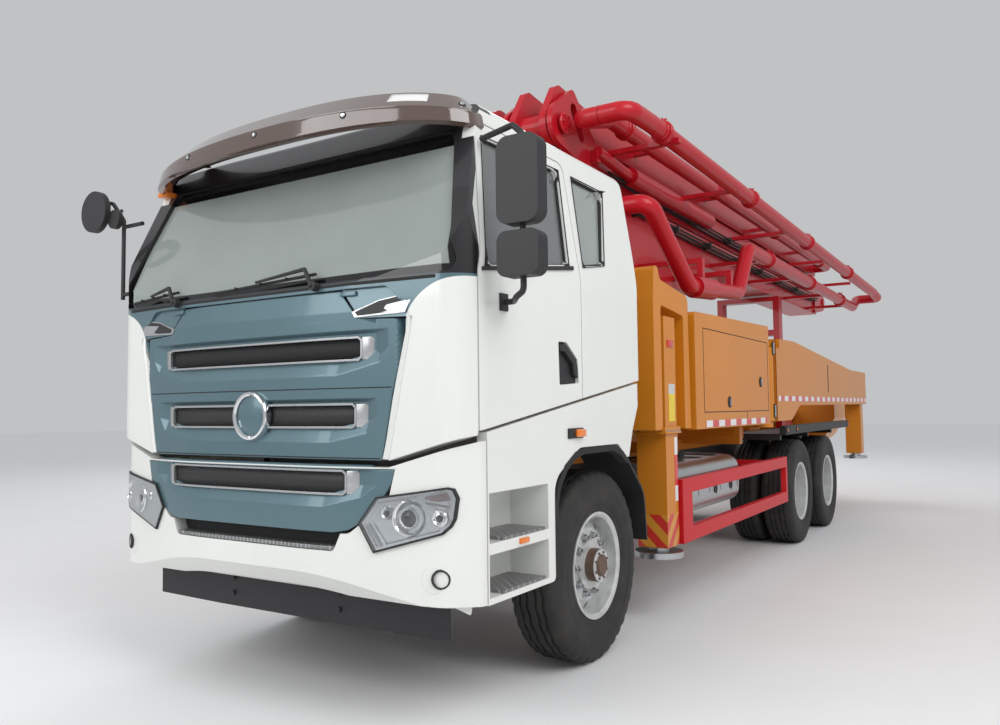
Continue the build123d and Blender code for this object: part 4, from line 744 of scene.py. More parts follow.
def wheels():
    for side_name, side in (("left", 1), ("right", -1)):
        rows = [("front", FRONT_AXLE_X, (FRONT_WHEEL_Y,), 0.062), ("mid", REAR_AXLES_X[0], TWIN_Y, -0.09),
                ("rear", REAR_AXLES_X[1], TWIN_Y, -0.09)]
        for row, x, planes, dish in rows:
            front = row == "front"
            body = f"front_wheel_{side_name}" if front else f"{row}_wheels_{side_name}"
            tyres = bmesh.new()
            for y in planes:
                add_tyre(tyres, (x, side * y, AXLE_Z))
            tyre = make_piece(f"{row}_tread_{side_name}", body, tyres, "tyre", smooth=40)
            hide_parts(f"front_tyre_{side_name}" if front else f"{row}_tyres_{side_name}")

            nave = planes[0] + dish
            nuts, hub = bmesh.new(), bmesh.new()
            for index in range(10):
                angle = 2 * math.pi * index / 10
                place = Vector((x + 0.1675 * math.cos(angle), side * nave, AXLE_Z + 0.1675 * math.sin(angle)))
                out = Vector((0, side, 0))
                add_bar(nuts, place, place + out * 0.012, 0.026, 16)
                add_bar(nuts, place + out * 0.01, place + out * 0.036, 0.0185, 6)
                add_bar(nuts, place + out * 0.03, place + out * 0.055, 0.011, 12, 0.009)
            make_piece(f"{row}_nuts_{side_name}", body, nuts, "steel", bevel=0.0015)
            reach = nave + (0.095 if front else 0.11)
            centre = Vector((x, side * reach, AXLE_Z))
            add_lathe(hub, [(0.0, 0.016), (0.05, 0.016), (0.06, 0.01), (0.062, 0.0), (0.09, -0.002), (0.0935, -0.008),
                            (0.0935, -0.06), (0.0, -0.06)], centre, (0, side, 0), 40, closed=False)
            for index in range(8):
                angle = 2 * math.pi * (index + 0.5) / 8
                place = centre + Vector((0.076 * math.cos(angle), 0, 0.076 * math.sin(angle)))
                add_bar(hub, place - Vector((0, side * 0.004, 0)), place + Vector((0, side * 0.006, 0)), 0.008, 6)
            make_piece(f"{row}_hub_cap_{side_name}", body, hub, "hub_brown" if front else "rim", bevel=0.001)
            valve = bmesh.new()
            add_bar(valve, (x + 0.235, side * (nave + 0.004), AXLE_Z + 0.03),
                    (x + 0.26, side * (nave + 0.07), AXLE_Z + 0.032), 0.005, 8)
            make_piece(f"{row}_valve_{side_name}", body, valve, "steel")


# ------------------------------------------------------------------ front of the cab

def slot_points(half, low, high):
    return [(-half, low + 0.012), (-half + 0.014, low), (half - 0.014, low), (half, low + 0.012),
            (half, high - 0.012), (half - 0.014, high), (-half + 0.014, high), (-half, high - 0.012)]


def grille():
    """Silver frames, their end pieces, and backs in the three slots: mesh, and in the first a near-black sheet of
    painted shade.
    """
    for index, (half, low, high) in enumerate(SLOTS):
        body = "front_flap" if index < 2 else "chassis"
        nose = CAB_NOSE if index < 2 else CHIN_NOSE
        number = index + 1
        rim = bmesh.new()
        add_frame(rim, slot_points(half, low, high), 0.01, "x", -0.022, -0.004, splits=12)
        drape(rim, nose)
        make_piece(f"slot_frame_{number}", body, rim, "silver_trim", bevel=0.0015)
        ends = bmesh.new()
        for side in (1, -1):
            own = [(side * (half + 0.008), low - 0.004), (side * (half + 0.05), low - 0.006), (side * (half + 0.064), low + 0.006),
                   (side * (half + 0.066), high - 0.006), (side * (half + 0.056), high + 0.008), (side * (half + 0.008), high + 0.006)]
            add_prism(ends, own, "x", -0.024, -0.006, 0.003)
        for vert in ends.verts:
            vert.co.x -= max(0.0, abs(vert.co.y) - half - 0.012) * 0.28
        drape(ends, nose)
        make_piece(f"slot_ends_{number}", body, ends, "silver_trim")
        back = bmesh.new()
        bmesh.ops.create_grid(back, x_segments=40, y_segments=1, size=0.5,
                              matrix=Matrix.Rotation(math.pi / 2, 4, "Z") @ Matrix.Rotation(math.pi / 2, 4, "X"))
        for vert in back.verts:
            vert.co.y *= 2 * half + 0.004
            vert.co.z = vert.co.z * (high - low + 0.004) + (low + high) / 2
            vert.co.x -= 0.024
        drape(back, nose)
        # the first slot's back is a near-black sheet, painted shade in the opening; the others get the mesh
        made = make_piece(f"slot_mesh_{number}", body, back, "void" if index == 0 else "mesh")
        thick = made.modifiers.new("wall", "SOLIDIFY")
        thick.thickness, thick.offset = 0.003, 0


# half widths of the two slotted panels at rising heights
PANEL_EDGE = [(0.809, 1.216), (0.83, 1.308), (0.868, 1.509), (0.908, 1.664), (0.935, 1.788), (0.94, 1.852), (0.68, 1.862),
              (0.565, 1.999)]
CHIN_EDGE = [(0.56, 0.886), (0.64, 0.9), (0.728, 0.949), (0.79, 1.0), (0.832, 1.064), (0.865, 1.12), (0.88, 1.176)]
# recesses round the slots: outer outline from the lower edge outwards and up, then the inner one
RECESSES = (
    ([(0.558, 1.606), (0.80, 1.66), (0.845, 1.72), (0.85, 1.792), (0.835, 1.81)], [(0.70, 1.668), (0.765, 1.672), (0.765, 1.789)]),
    ([(0.51, 1.294), (0.73, 1.338), (0.775, 1.40), (0.785, 1.48), (0.77, 1.497)], [(0.665, 1.358), (0.725, 1.362), (0.725, 1.479)]),
    ([(0.495, 0.998), (0.703, 1.047), (0.765, 1.09), (0.79, 1.16), (0.785, 1.177)], [(0.62, 1.055), (0.70, 1.06), (0.70, 1.168)]),
)


def recess_depth(y, z):
    """How far a panel lies back at a place: sloped sides below and beside, a steep step above."""
    y = abs(y)
    deepest = 0.0
    for outer, inner in RECESSES:
        low_in, wide_in = inner[0][1], inner[1][0]
        (y0, z0), (y1, z1), (y2, z2), (y3, z3), (y4, z4) = outer
        if z < z0 or z > z4 or y > y3:
            continue
        floor = z0 if y < y0 else z0 + (z1 - z0) * (y - y0) / (y1 - y0)
        if y > y1:
            floor = z1 + (z2 - z1) * (y - y1) / (y2 - y1)
        below = (z - floor) / max(1e-4, low_in - z0)
        aside = (y3 - y) / (y3 - wide_in)
        above = (z4 - z) / 0.012
        deepest = max(deepest, 0.024 * max(0.0, min(1.0, below, aside, above)))
    return deepest


def slotted_panel(name, body, node, edge, nose, rows):
    """Blue panel laid on the front as a fine grid, pressed back in its recesses."""
    own = bmesh.new()
    bmesh.ops.create_grid(own, x_segments=320, y_segments=rows, size=0.5,
                          matrix=Matrix.Rotation(math.pi / 2, 4, "Z") @ Matrix.Rotation(math.pi / 2, 4, "X"))
    low, high = edge[0][1], edge[-1][1]

    def half_width(z):
        for (y0, z0), (y1, z1) in zip(edge, edge[1:]):
            if z <= z1:
                return y0 + (y1 - y0) * (z - z0) / (z1 - z0)
        return edge[-1][0]
    for vert in own.verts:
        z = low + (vert.co.z + 0.5) * (high - low)
        y = vert.co.y * 2 * half_width(z)
        vert.co = Vector((nose(y) + 0.0003 - recess_depth(y, z) - max(0.0, z - 1.9) * 0.157, y, z))
    piece = make_piece(name, body, own, "panel_blue", smooth=24)
    thick = piece.modifiers.new("wall", "SOLIDIFY")
    thick.thickness, thick.offset = 0.022, -1
    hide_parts(node)


def front_panel():
    """The lifting panel, the fixed one below it, and white fillers up to the corner panels."""
    slotted_panel("front_panel", "front_flap", "front_flap", PANEL_EDGE, CAB_NOSE, 150)
    slotted_panel("chin_panel", "chassis", "lower_grille", CHIN_EDGE, CHIN_NOSE, 80)
    fill = bmesh.new()
    for side in (1, -1):
        strip = [(0.817, 1.222), (0.853, 1.222), (0.981, 1.862), (0.962, 1.91), (0.948, 1.858), (0.943, 1.788), (0.916, 1.664),
                 (0.876, 1.509), (0.838, 1.308)]
        add_prism(fill, [(side * y, z) for y, z in strip], "x", -0.045, 0.0)
        corner = [(0.69, 1.866), (0.952, 1.858), (0.965, 1.91), (0.981, 1.862), (0.98, 1.9), (0.87, 2.006), (0.575, 2.006)]
        add_prism(fill, [(side * y, z) for y, z in corner[:2] + corner[4:]], "x", -0.045, 0.0)
    drape(fill, CAB_NOSE)
    slope(fill)
    make_piece("corner_fillers", "cab", fill, "cab_shell_paint", slot="cab_white")


def badge():
    """Plain domed disc in a chrome ring."""
    centre = Vector((CAB_NOSE(0) + 0.004, 0, 1.42))
    ring, dome = bmesh.new(), bmesh.new()
    add_lathe(ring, [(0.1, 0.0), (0.1, 0.014), (0.108, 0.022), (0.118, 0.02), (0.123, 0.01), (0.122, -0.018), (0.1, -0.018)],
              centre, (1, 0, 0), 64)
    make_piece("badge_ring", "front_flap", ring, "chrome")
    add_lathe(dome, [(0.0, 0.018), (0.03, 0.0165), (0.06, 0.013), (0.085, 0.008), (0.1, 0.003), (0.101, -0.012),
                     (0.0, -0.012)], centre, (1, 0, 0), 64, closed=False)
    make_piece("badge_disc", "front_flap", dome, "panel_blue", smooth=60)


def vents():
    """Pointed silver air inlets at the upper corners of the blue panel."""
    for side_name, side in (("left", 1), ("right", -1)):
        for label, points, low, high, finish in (
                ("frame", [(0.648, 1.896), (0.80, 1.944), (0.99, 1.969), (0.943, 1.876), (0.665, 1.868)], -0.006, 0.005,
                 "silver_trim"),
                ("inlet", [(0.668, 1.8945), (0.80, 1.9385), (0.972, 1.9605), (0.926, 1.886), (0.683, 1.8765)], 0.0, 0.0062,
                 "trim")):
            shape = bmesh.new()
            add_prism(shape, [(side * y, z) for y, z in points], "x", low, high)
            bmesh.ops.subdivide_edges(shape, edges=shape.edges, cuts=3, use_grid_fill=True)
            drape(shape, CAB_NOSE)
            slope(shape)
            make_piece(f"vent_{label}_{side_name}", "cab", shape, finish, bevel=0.001, slot="trim")


def slope(shape):
    """Leans what stands above the crease back with the cab's front."""
    for vert in shape.verts:
        vert.co.x -= max(0.0, vert.co.z - 1.9) * 0.022 / 0.14


def seams():
    """Dark joints pressed between the blue panels, hinge covers."""
    lines = bmesh.new()
    for z, half in ((1.545, 0.866), (1.224, 0.806)):
        add_block(lines, (-0.003, -half, z - 0.0025), (0.0012, half, z + 0.0025))
    bmesh.ops.subdivide_edges(lines, edges=[e for e in lines.edges if abs(e.verts[0].co.y - e.verts[1].co.y) > 0.5],
                              cuts=40)
    drape(lines, CAB_NOSE)
    make_piece("panel_seams", "front_flap", lines, "void")
    caps = bmesh.new()
    for side in (1, -1):
        add_block(caps, (-0.01, side * 0.62 - 0.045, 1.972), (0.012, side * 0.62 + 0.045, 1.995), 0.004)
    drape(caps, CAB_NOSE)
    slope(caps)
    make_piece("flap_hinge_covers", "cab", caps, "panel_blue")


def windscreen_trim():
    """Wipers, screen sill, sun visor with its bolts and lamps."""
    def screen_x(z):
        return 6.150 - (z - 2.04) * 0.3945

    arms = bmesh.new()
    blades = bmesh.new()
    for pivot_y, tip_y in ((0.42, -0.32), (-0.62, -1.02)):
        base = Vector((screen_x(2.035) + 0.012, pivot_y, 2.03))
        elbow = Vector((screen_x(2.10) + 0.035, pivot_y - 0.07, 2.125))
        middle = Vector((screen_x(2.075) + 0.03, (pivot_y * 0.45 + tip_y * 0.55), 2.09))
        add_bar(arms, base - Vector((0.02, 0, 0)), base + Vector((0.022, 0, 0.006)), 0.022, 20)
        add_bar(arms, base + Vector((0.02, 0, 0)), elbow, 0.012, 12, 0.01)
        add_bar(arms, elbow, middle, 0.01, 12, 0.007)
        first = Vector((screen_x(2.098) + 0.012, pivot_y - 0.02, 2.098))
        last = Vector((screen_x(2.062) + 0.012, tip_y, 2.062))
        add_bar(blades, first, last, 0.008, 10)
        add_bar(blades, first + Vector((-0.008, 0, 0)), last + Vector((-0.008, 0, 0)), 0.005, 8)
        for share in (0.25, 0.5, 0.75):
            spot = first.lerp(last, share)
            add_bar(arms, spot, spot + Vector((0.02, 0, 0.004)), 0.006, 8)
    make_piece("wiper_arms", "cab", arms, "trim")
    make_piece("wiper_blades", "cab", blades, "rubber")

    cowl = bmesh.new()
    add_block(cowl, (-0.03, -1.1, 2.02), (0.004, 1.1, 2.036), 0.004)
    bmesh.ops.subdivide_edges(cowl, edges=[e for e in cowl.edges if abs(e.verts[0].co.y - e.verts[1].co.y) > 0.5],
                              cuts=30)
    drape(cowl, contour(Skin("cab_shell", "cab_glass"), 2.036, 1.12))
    make_piece("screen_sill", "cab", cowl, "rubber")

    # sun visor: a smoky shell swept round the roof's front edge
    def rim(angle):
        turn = math.sin(angle)
        return Vector((5.8 + 0.358 * math.cos(angle), math.copysign(abs(turn) ** (2 / 3), turn) * 1.165, 0))

    def edge(share):
        angle = math.asin(max(-1.0, min(1.0, math.copysign(abs(share) ** 1.5, share))))
        place = rim(angle)
        ahead = rim(min(angle + 0.01, math.pi / 2)) - rim(max(angle - 0.01, -math.pi / 2))
        outward = Vector((ahead.y, -ahead.x, 0)).normalized()
        side = abs(place.y) / 1.165
        return place, outward, 2.785 - 0.03 * side ** 2, 0.092 - 0.03 * side ** 2, 2.99 - 0.06 * side ** 2

    def section(share, v):
        place, outward, lip, band, top = edge(share)
        marks = ((0, 0.085, lip + 0.02), (0.12, 0.02, lip - 0.004), (0.16, 0.0, lip + 0.008), (0.42, 0.012, lip + band),
                 (0.46, 0.017, lip + band - 0.001), (0.5, 0.018, lip + band + 0.008), (0.8, 0.12, top - 0.006),
                 (0.9, 0.17, top + 0.002), (1, 0.3, top - 0.004))
        for (v0, d0, z0), (v1, d1, z1) in zip(marks, marks[1:]):
            if v <= v1:
                part = (v - v0) / (v1 - v0)
                break
        spot = place - outward * (d0 + (d1 - d0) * part)
        return Vector((max(5.74, spot.x), spot.y, z0 + (z1 - z0) * part))

    shade = bmesh.new()
    bmesh.ops.create_grid(shade, x_segments=96, y_segments=50, size=0.5)
    for vert in shade.verts:
        vert.co = section(vert.co.x * 1.999, vert.co.y + 0.5)
    visor = make_piece("sun_visor", "cab", shade, "smoked", smooth=30)
    wall = visor.modifiers.new("wall", "SOLIDIFY")
    wall.thickness, wall.offset = 0.005, 0
    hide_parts("roof_visor")

    bolts, washers, markers = bmesh.new(), bmesh.new(), bmesh.new()
    for share, v in ((-0.94, 0.36), (-0.5, 0.36), (-0.02, 0.36), (0.49, 0.36), (0.97, 0.62)):
        spot = section(share, v)
        along = section(share, v + 0.02) - section(share, v - 0.02)
        out = Vector((0, 0, 1)).cross(along).cross(along) * -1
        out = (edge(share)[1] - along * edge(share)[1].dot(along) / along.length_squared).normalized()
        add_lathe(bolts, [(0, 0.01), (0.007, 0.009), (0.011, 0.004), (0.011, -0.002), (0, -0.002)], spot + out * 0.003, out, 16,
                  closed=False)
        add_ring(washers, spot + out * 0.003, out, 0.009, 0.018, 0.004, 16)
    make_piece("visor_bolts", "cab", bolts, "chrome")
    make_piece("visor_washers", "cab", washers, "trim")
    bmesh.ops.create_grid(markers, x_segments=10, y_segments=4, size=0.5)
    for vert in markers.verts:
        share, v = 0.76 + vert.co.x * 0.17, 0.68 + vert.co.y * 0.16
        vert.co = section(share, v) + Vector((0.003, 0, 0.004))
    sticker = make_piece("visor_marker", "cab", markers, "white_lens", slot="lamp")
    sticker.modifiers.new("wall", "SOLIDIFY").thickness = 0.004
    lamp = bmesh.new()
    add_block(lamp, (5.845, -1.14, 2.742), (5.93, -1.04, 2.772), 0.01)
    make_piece("visor_lamp", "cab", lamp, "amber", slot="lamp")


LAMP_EDGE = [(0.712, 0.934), (0.798, 1.046), (0.983, 1.073), (1.135, 1.097), (1.155, 1.092), (1.168, 1.057), (1.158, 0.97),
             (1.145, 0.94), (1.114, 0.91), (0.784, 0.816)]


def headlamps():
    """Reflectors, projectors and trim behind clear covers."""
    for side_name, side in (("left", 1), ("right", -1)):
        points = [(side * y, z) for y, z in LAMP_EDGE]
        if side < 0:
            points.reverse()

        def at(y, z, proud):
            return Vector((BUMPER_NOSE(side * y) + proud, side * y, z))

        def layer(label, outline, low, high, finish, slot, cuts=5):
            shape = bmesh.new()
            add_prism(shape, outline, "x", low, high)
            bmesh.ops.triangulate(shape, faces=[face for face in shape.faces if len(face.verts) > 4])
            bmesh.ops.subdivide_edges(shape, edges=shape.edges, cuts=cuts)
            drape(shape, BUMPER_NOSE)
            return make_piece(f"lamp_{label}_{side_name}", "chassis", shape, finish, slot=slot)
        bezel = bmesh.new()
        add_frame(bezel, points, 0.009, "x", -0.004, 0.012, splits=6)
        drape(bezel, BUMPER_NOSE)
        make_piece(f"lamp_bezel_{side_name}", "chassis", bezel, "trim")
        layer("bowl", points, -0.003, 0.002, "chrome", "chrome")
        layer("turn_strip", [(side * y, z) for y, z in ((1.03, 1.06), (1.135, 1.083), (1.148, 1.05), (1.10, 1.042),
                                                        (1.06, 1.046))], 0.002, 0.005, "pink_lens", "lamp", 2)
        rings, eyes, bars = bmesh.new(), bmesh.new(), bmesh.new()
        for y, z, radius in ((0.958, 0.967, 0.08), (1.105, 0.972, 0.036), (0.85, 0.985, 0.03)):
            out = Vector((1, side * 0.3, 0.02))
            add_lathe(rings, [(radius, -0.004), (radius, 0.008), (radius - 0.006, 0.012), (radius - 0.016, 0.004),
                              (radius * 0.62, -0.002), (radius * 0.55, 0.009), (radius * 0.48, 0.01),
                              (radius * 0.4, -0.001), (radius * 0.4, -0.004)], at(y, z, 0.003), out, 40)
            add_lathe(eyes, [(0, 0.012), (radius * 0.25, 0.01), (radius * 0.4, 0.003), (radius * 0.42, -0.003),
                             (0, -0.003)], at(y, z, 0.003), out, 24, closed=False)
        make_piece(f"lamp_rings_{side_name}", "chassis", rings, "chrome")
        make_piece(f"lamp_eyes_{side_name}", "chassis", eyes, "dark_lens", slot="glass")
        for shift, width in ((0.0, 0.005), (0.022, 0.008), (0.05, 0.003)):
            add_bar(bars, at(0.73 + shift, 0.937, 0.004), at(0.797 + shift, 0.832 + shift * 0.3, 0.004), width, 8)
        for low, high in (((0.8, 1.03), (0.99, 1.06)), ((1.04, 1.035), (1.14, 1.02)), ((0.84, 0.85), (1.1, 0.92))):
            add_bar(bars, at(*low, 0.004), at(*high, 0.004), 0.004, 8)
        make_piece(f"lamp_bars_{side_name}", "chassis", bars, "chrome")
        lens = layer("cover", points, 0.0125, 0.0145, "lens", "glass")
        if side_name == "left":
            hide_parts("headlamps")
        disc = bmesh.new()
        turn = [math.tau * k / 32 for k in range(32)]
        add_prism(disc, [(side * 1.067 + 0.056 * math.cos(a), 0.702 + 0.056 * math.sin(a)) for a in turn], "x", -0.001, 0.0008)
        bmesh.ops.triangulate(disc, faces=[face for face in disc.faces if len(face.verts) > 4])
        bmesh.ops.subdivide_edges(disc, edges=disc.edges, cuts=3)
        drape(disc, BUMPER_NOSE)
        make_piece(f"fog_plate_{side_name}", "chassis", disc, "cab_white")
        fog, ring = bmesh.new(), bmesh.new()
        centre = Vector((BUMPER_NOSE(side * 1.105), side * 1.105, 0.71))
        out = Vector((0.85, side * 0.45, 0)).normalized()
        add_ring(ring, centre - out * 0.004, out, 0.034, 0.044, 0.02, 32, 0.006)
        make_piece(f"fog_ring_{side_name}", "chassis", ring, "trim")
        add_lathe(fog, [(0, -0.001), (0.02, -0.003), (0.037, -0.01), (0.038, -0.03), (0, -0.03)], centre, out, 28,
                  closed=False)
        make_piece(f"fog_lens_{side_name}", "chassis", fog, "white_lens", slot="lamp")


def bumper_details():
    """Tread strip in the bumper step, the board below, corner brackets."""
    board = bmesh.new()
    add_prism(board, [(5.925, -1.035), (5.935, -1.035), (5.955, -0.5), (5.955, 0.5), (5.935, 1.035), (5.925, 1.035),
                      (5.925, 1.0), (5.94, 0.5), (5.94, -0.5), (5.925, -1.0)], "z", 0.4, 0.586)
    for side in (1, -1):
        add_block(board, (5.88, side * 0.385 - 0.035, 0.44), (5.945, side * 0.385 + 0.035, 0.74), 0.004)
        for z in (0.47, 0.55):
            add_bar(board, (5.95, side * 0.385, z), (5.968, side * 0.385, z), 0.014, 6)
    below = make_piece("underrun_panel", "chassis", board, "board_black", slot="frame_black", bevel=0.002)
    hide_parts("underrun_board")
    corners = bmesh.new()
    for side in (1, -1):
        add_prism(corners, [(side * 1.03, 0.592), (side * 1.2, 0.592), (side * 1.19, 0.55)], "x", 5.99, 6.0)
    make_piece("bumper_corners", "chassis", corners, "cab_white", bevel=0.001)
    plate = bmesh.new()
    add_block(plate, (-0.07, -0.555, 0.803), (-0.002, 0.555, 0.822), 0.004)
    bmesh.ops.subdivide_edges(plate, edges=[e for e in plate.edges if abs(e.verts[0].co.y - e.verts[1].co.y) > 0.5],
                              cuts=24)
    drape(plate, BUMPER_NOSE)
    make_piece("bumper_tread", "chassis", plate, "tread_plate", slot="steel")
    # near-black plate at the back of the bumper step: painted shade in the recess
    dark = bmesh.new()
    add_block(dark, (-0.075, -0.59, 0.795), (-0.068, 0.59, 0.89))
    bmesh.ops.subdivide_edges(dark, edges=[e for e in dark.edges if abs(e.verts[0].co.y - e.verts[1].co.y) > 0.5],
                              cuts=24)
    drape(dark, BUMPER_NOSE)
    make_piece("bumper_step_painted_shade", "chassis", dark, "void")


def cab_sides():
    """Seals, belt rails, handles, marker lamps and steps on both sides."""
    quarter = [(4.955, 2.216), (4.915, 2.735), (4.52, 2.731), (4.672, 2.262)]
    quarter = [(4.672 + 0.02, 2.24), (4.945, 2.205), (4.957, 2.23), (4.922, 2.715), (4.905, 2.738), (4.56, 2.735),
               (4.53, 2.70), (4.655, 2.28)]
    door_window = [(5.131, 2.2), (5.078, 2.73), (5.822, 2.712), (5.938, 2.085)]
    for side_name, side in (("left", 1), ("right", -1)):
        skin = Skin("cab_shell", f"door_{side_name}", "cab_glass", f"door_glass_{side_name}")

        def flank(x, z):
            hit = skin.reach((x, side * 2, z), (0, -side, 0))
            return abs(hit.y) if hit else 1.2

        def seat(shape):
            for vert in shape.verts:
                vert.co.y = side * (vert.co.y + flank(vert.co.x, vert.co.z))

        shell = Skin("cab_shell")
        for label, points, body, width in (("quarter_seal", [(4.945, 2.22), (4.912, 2.73), (4.525, 2.728), (4.67, 2.268)],
                                            "cab", 0.016), ("door_seal", door_window, f"door_{side_name}", 0.016)):
            seal = bmesh.new()
            inner = outline_ring(points, -0.006)
            add_frame(seal, inner, width, "y", -0.004, 0.006, splits=14)
            seat(seal)
            make_piece(f"{label}_{side_name}", body, seal, "rubber")
        rail = bmesh.new()
        add_prism(rail, [(5.085, 2.178), (5.97, 2.055), (5.97, 2.073), (5.085, 2.2)], "y", -0.002, 0.012)
        bmesh.ops.subdivide_edges(rail, edges=[e for e in rail.edges if e.calc_length() > 0.5], cuts=20)
        seat(rail)
        make_piece(f"belt_rail_{side_name}", f"door_{side_name}", rail, "trim", bevel=0.003)
        well, grip = bmesh.new(), bmesh.new()
        add_prism(well, [(5.045, 1.575), (5.06, 1.70), (5.18, 1.784), (5.27, 1.784), (5.262, 1.561)], "y",
                  side * 1.2245, side * 1.229)
        make_piece(f"handle_well_{side_name}", f"door_{side_name}", well, "trim")
        add_prism(grip, [(5.058, 1.65), (5.075, 1.70), (5.19, 1.772), (5.258, 1.772), (5.256, 1.738), (5.2, 1.735),
                         (5.11, 1.675), (5.1, 1.62), (5.058, 1.6)], "y", side * 1.229, side * 1.252)
        make_piece(f"handle_{side_name}", f"door_{side_name}", grip, "trim", bevel=0.004)
        lamps = bmesh.new()
        base, glow = bmesh.new(), bmesh.new()
        add_block(base, (5.015, min(side * 1.249, side * 1.262), 1.283), (5.185, max(side * 1.249, side * 1.262), 1.337), 0.006)
        add_block(glow, (5.02, min(side * 1.26, side * 1.28), 1.29), (5.12, max(side * 1.26, side * 1.28), 1.33), 0.008)
        lamps.free()
        make_piece(f"marker_base_{side_name}", "chassis", base, "trim")
        make_piece(f"marker_{side_name}", "chassis", glow, "amber", slot="lamp")
        treads, step_lamp = bmesh.new(), bmesh.new()
        for z in (0.612, 0.85):
            add_block(treads, (5.424, min(side * 0.965, side * 1.246), z), (5.816, max(side * 0.965, side * 1.246), z + 0.014),
                      0.003)
        make_piece(f"step_treads_{side_name}", "chassis", treads, "tread_plate", slot="steel")
        add_block(step_lamp, (5.6, min(side * 1.247, side * 1.262), 0.815), (5.68, max(side * 1.247, side * 1.262), 0.84), 0.004)
        make_piece(f"step_marker_{side_name}", "chassis", step_lamp, "amber", slot="lamp")
        lip = [(5.33, 0.60), (5.33, 0.97), (5.30, 1.06), (5.22, 1.15), (5.10, 1.212), (5.0, 1.229), (4.62, 1.229),
               (4.5, 1.19), (4.43, 1.14)]
        arch = bmesh.new()
        outer = [(x + (0.0 if x > 5.3 else 0), z) for x, z in lip]
        inner = [(5.296, 0.60), (5.296, 0.96), (5.27, 1.04), (5.196, 1.122), (5.09, 1.178), (4.995, 1.194),
                 (4.63, 1.194), (4.52, 1.16), (4.445, 1.108)]
        add_prism(arch, outer + inner[::-1], "y", side * 1.20, side * 1.256)
        make_piece(f"arch_lip_{side_name}", "chassis", arch, "rubber", bevel=0.004)


def mirror_heads():
    """Glass faces of the left pair, of the folded right pair and of the round corner mirrors."""
    left, right, corner = bmesh.new(), bmesh.new(), bmesh.new()
    for low, high in ((2.237, 2.622), (2.008, 2.207)):
        low, high, cut = low + 0.018, high - 0.018, 0.04
        for shape, middle, axis, near in ((left, 1.455, "x", 5.9195), (right, 5.7, "y", -1.2995)):
            a, b = middle - 0.088, middle + 0.088
            add_prism(shape, [(a + cut, low), (b - cut, low), (b - cut * 0.3, low + cut * 0.3), (b, low + cut),
                              (b, high - cut), (b - cut * 0.3, high - cut * 0.3), (b - cut, high), (a + cut, high),
                              (a + cut * 0.3, high - cut * 0.3), (a, high - cut), (a, low + cut),
                              (a + cut * 0.3, low + cut * 0.3)], axis, near, near + 0.006)
    make_piece("mirror_glass_left", "door_left", left, "mirror")
    make_piece("mirror_glass_right", "door_right", right, "mirror")
    for centre, radius in (((6.13, -1.42, 2.65), 0.112), ((6.105, -1.262, 2.59), 0.05)):
        add_lathe(corner, [(0, 0.004), (radius * 0.6, 0.003), (radius, 0), (radius, -0.003), (0, -0.003)], centre,
                  (-1, 0, 0), 36, closed=False)
    make_piece("corner_mirror_glass", "cab", corner, "mirror")


def seats():
    """Two sprung seats, fascia and floor hump."""
    fascia = bmesh.new()
    add_prism(fascia, [(5.6, 1.68), (5.985, 1.68), (5.985, 1.99), (5.86, 2.0), (5.68, 1.97), (5.6, 1.9)], "y",
              -1.14, 1.14, 0.02)
    add_block(fascia, (4.3, -0.2, 1.672), (5.6, 0.2, 1.79), 0.02)
    for side in (1, -1):
        add_block(fascia, (4.86, side * 0.575 - 0.2, 1.672), (5.2, side * 0.575 + 0.2, 1.84), 0.02)
    add_bar(fascia, (5.72, 0.56, 1.99), (5.558, 0.56, 2.144), 0.03, 20)
    cover = make_piece("fascia", "cab", fascia, "cabin")
    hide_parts("cab_interior")
    for side_name, side in (("left", 1), ("right", -1)):
        for label, low, high, lean in (("cushion", (4.8, 0.33, 1.85), (5.28, 0.82, 2.0), 0.0),
                                       ("back", (4.72, 0.34, 1.99), (4.86, 0.81, 2.5), -0.1),
                                       ("headrest", (4.675, 0.45, 2.53), (4.765, 0.70, 2.69), 0.0)):
            pad = bmesh.new()
            lo, hi = Vector(low), Vector(high)
            bmesh.ops.create_cube(pad, size=1, matrix=Matrix.Translation((lo + hi) / 2) @ Matrix.Diagonal((*(hi - lo), 1)))
            bmesh.ops.subdivide_edges(pad, edges=pad.edges, cuts=5, use_grid_fill=True)
            middle, size = (lo + hi) / 2, (hi - lo) / 2
            for vert in pad.verts:
                u = Vector(((vert.co[k] - middle[k]) / size[k] for k in range(3)))
                if label == "cushion":
                    vert.co.z += 0.02 * (1 - u.x ** 2) * (1 - u.y ** 2) * (1 if u.z > 0 else 0)
                else:
                    vert.co.x += 0.02 * (1 - u.z ** 2) * (1 - u.y ** 2) * (1 if u.x > 0 else 0)
                vert.co.x += lean * (vert.co.z - lo.z)
                vert.co.y *= side
            piece = make_piece(f"seat_{label}_{side_name}", "cab", pad, "fabric", smooth=80)
            rounder = piece.modifiers.new("soft", "SUBSURF")
            rounder.levels = rounder.render_levels = 1


# ------------------------------------------------------------------ body

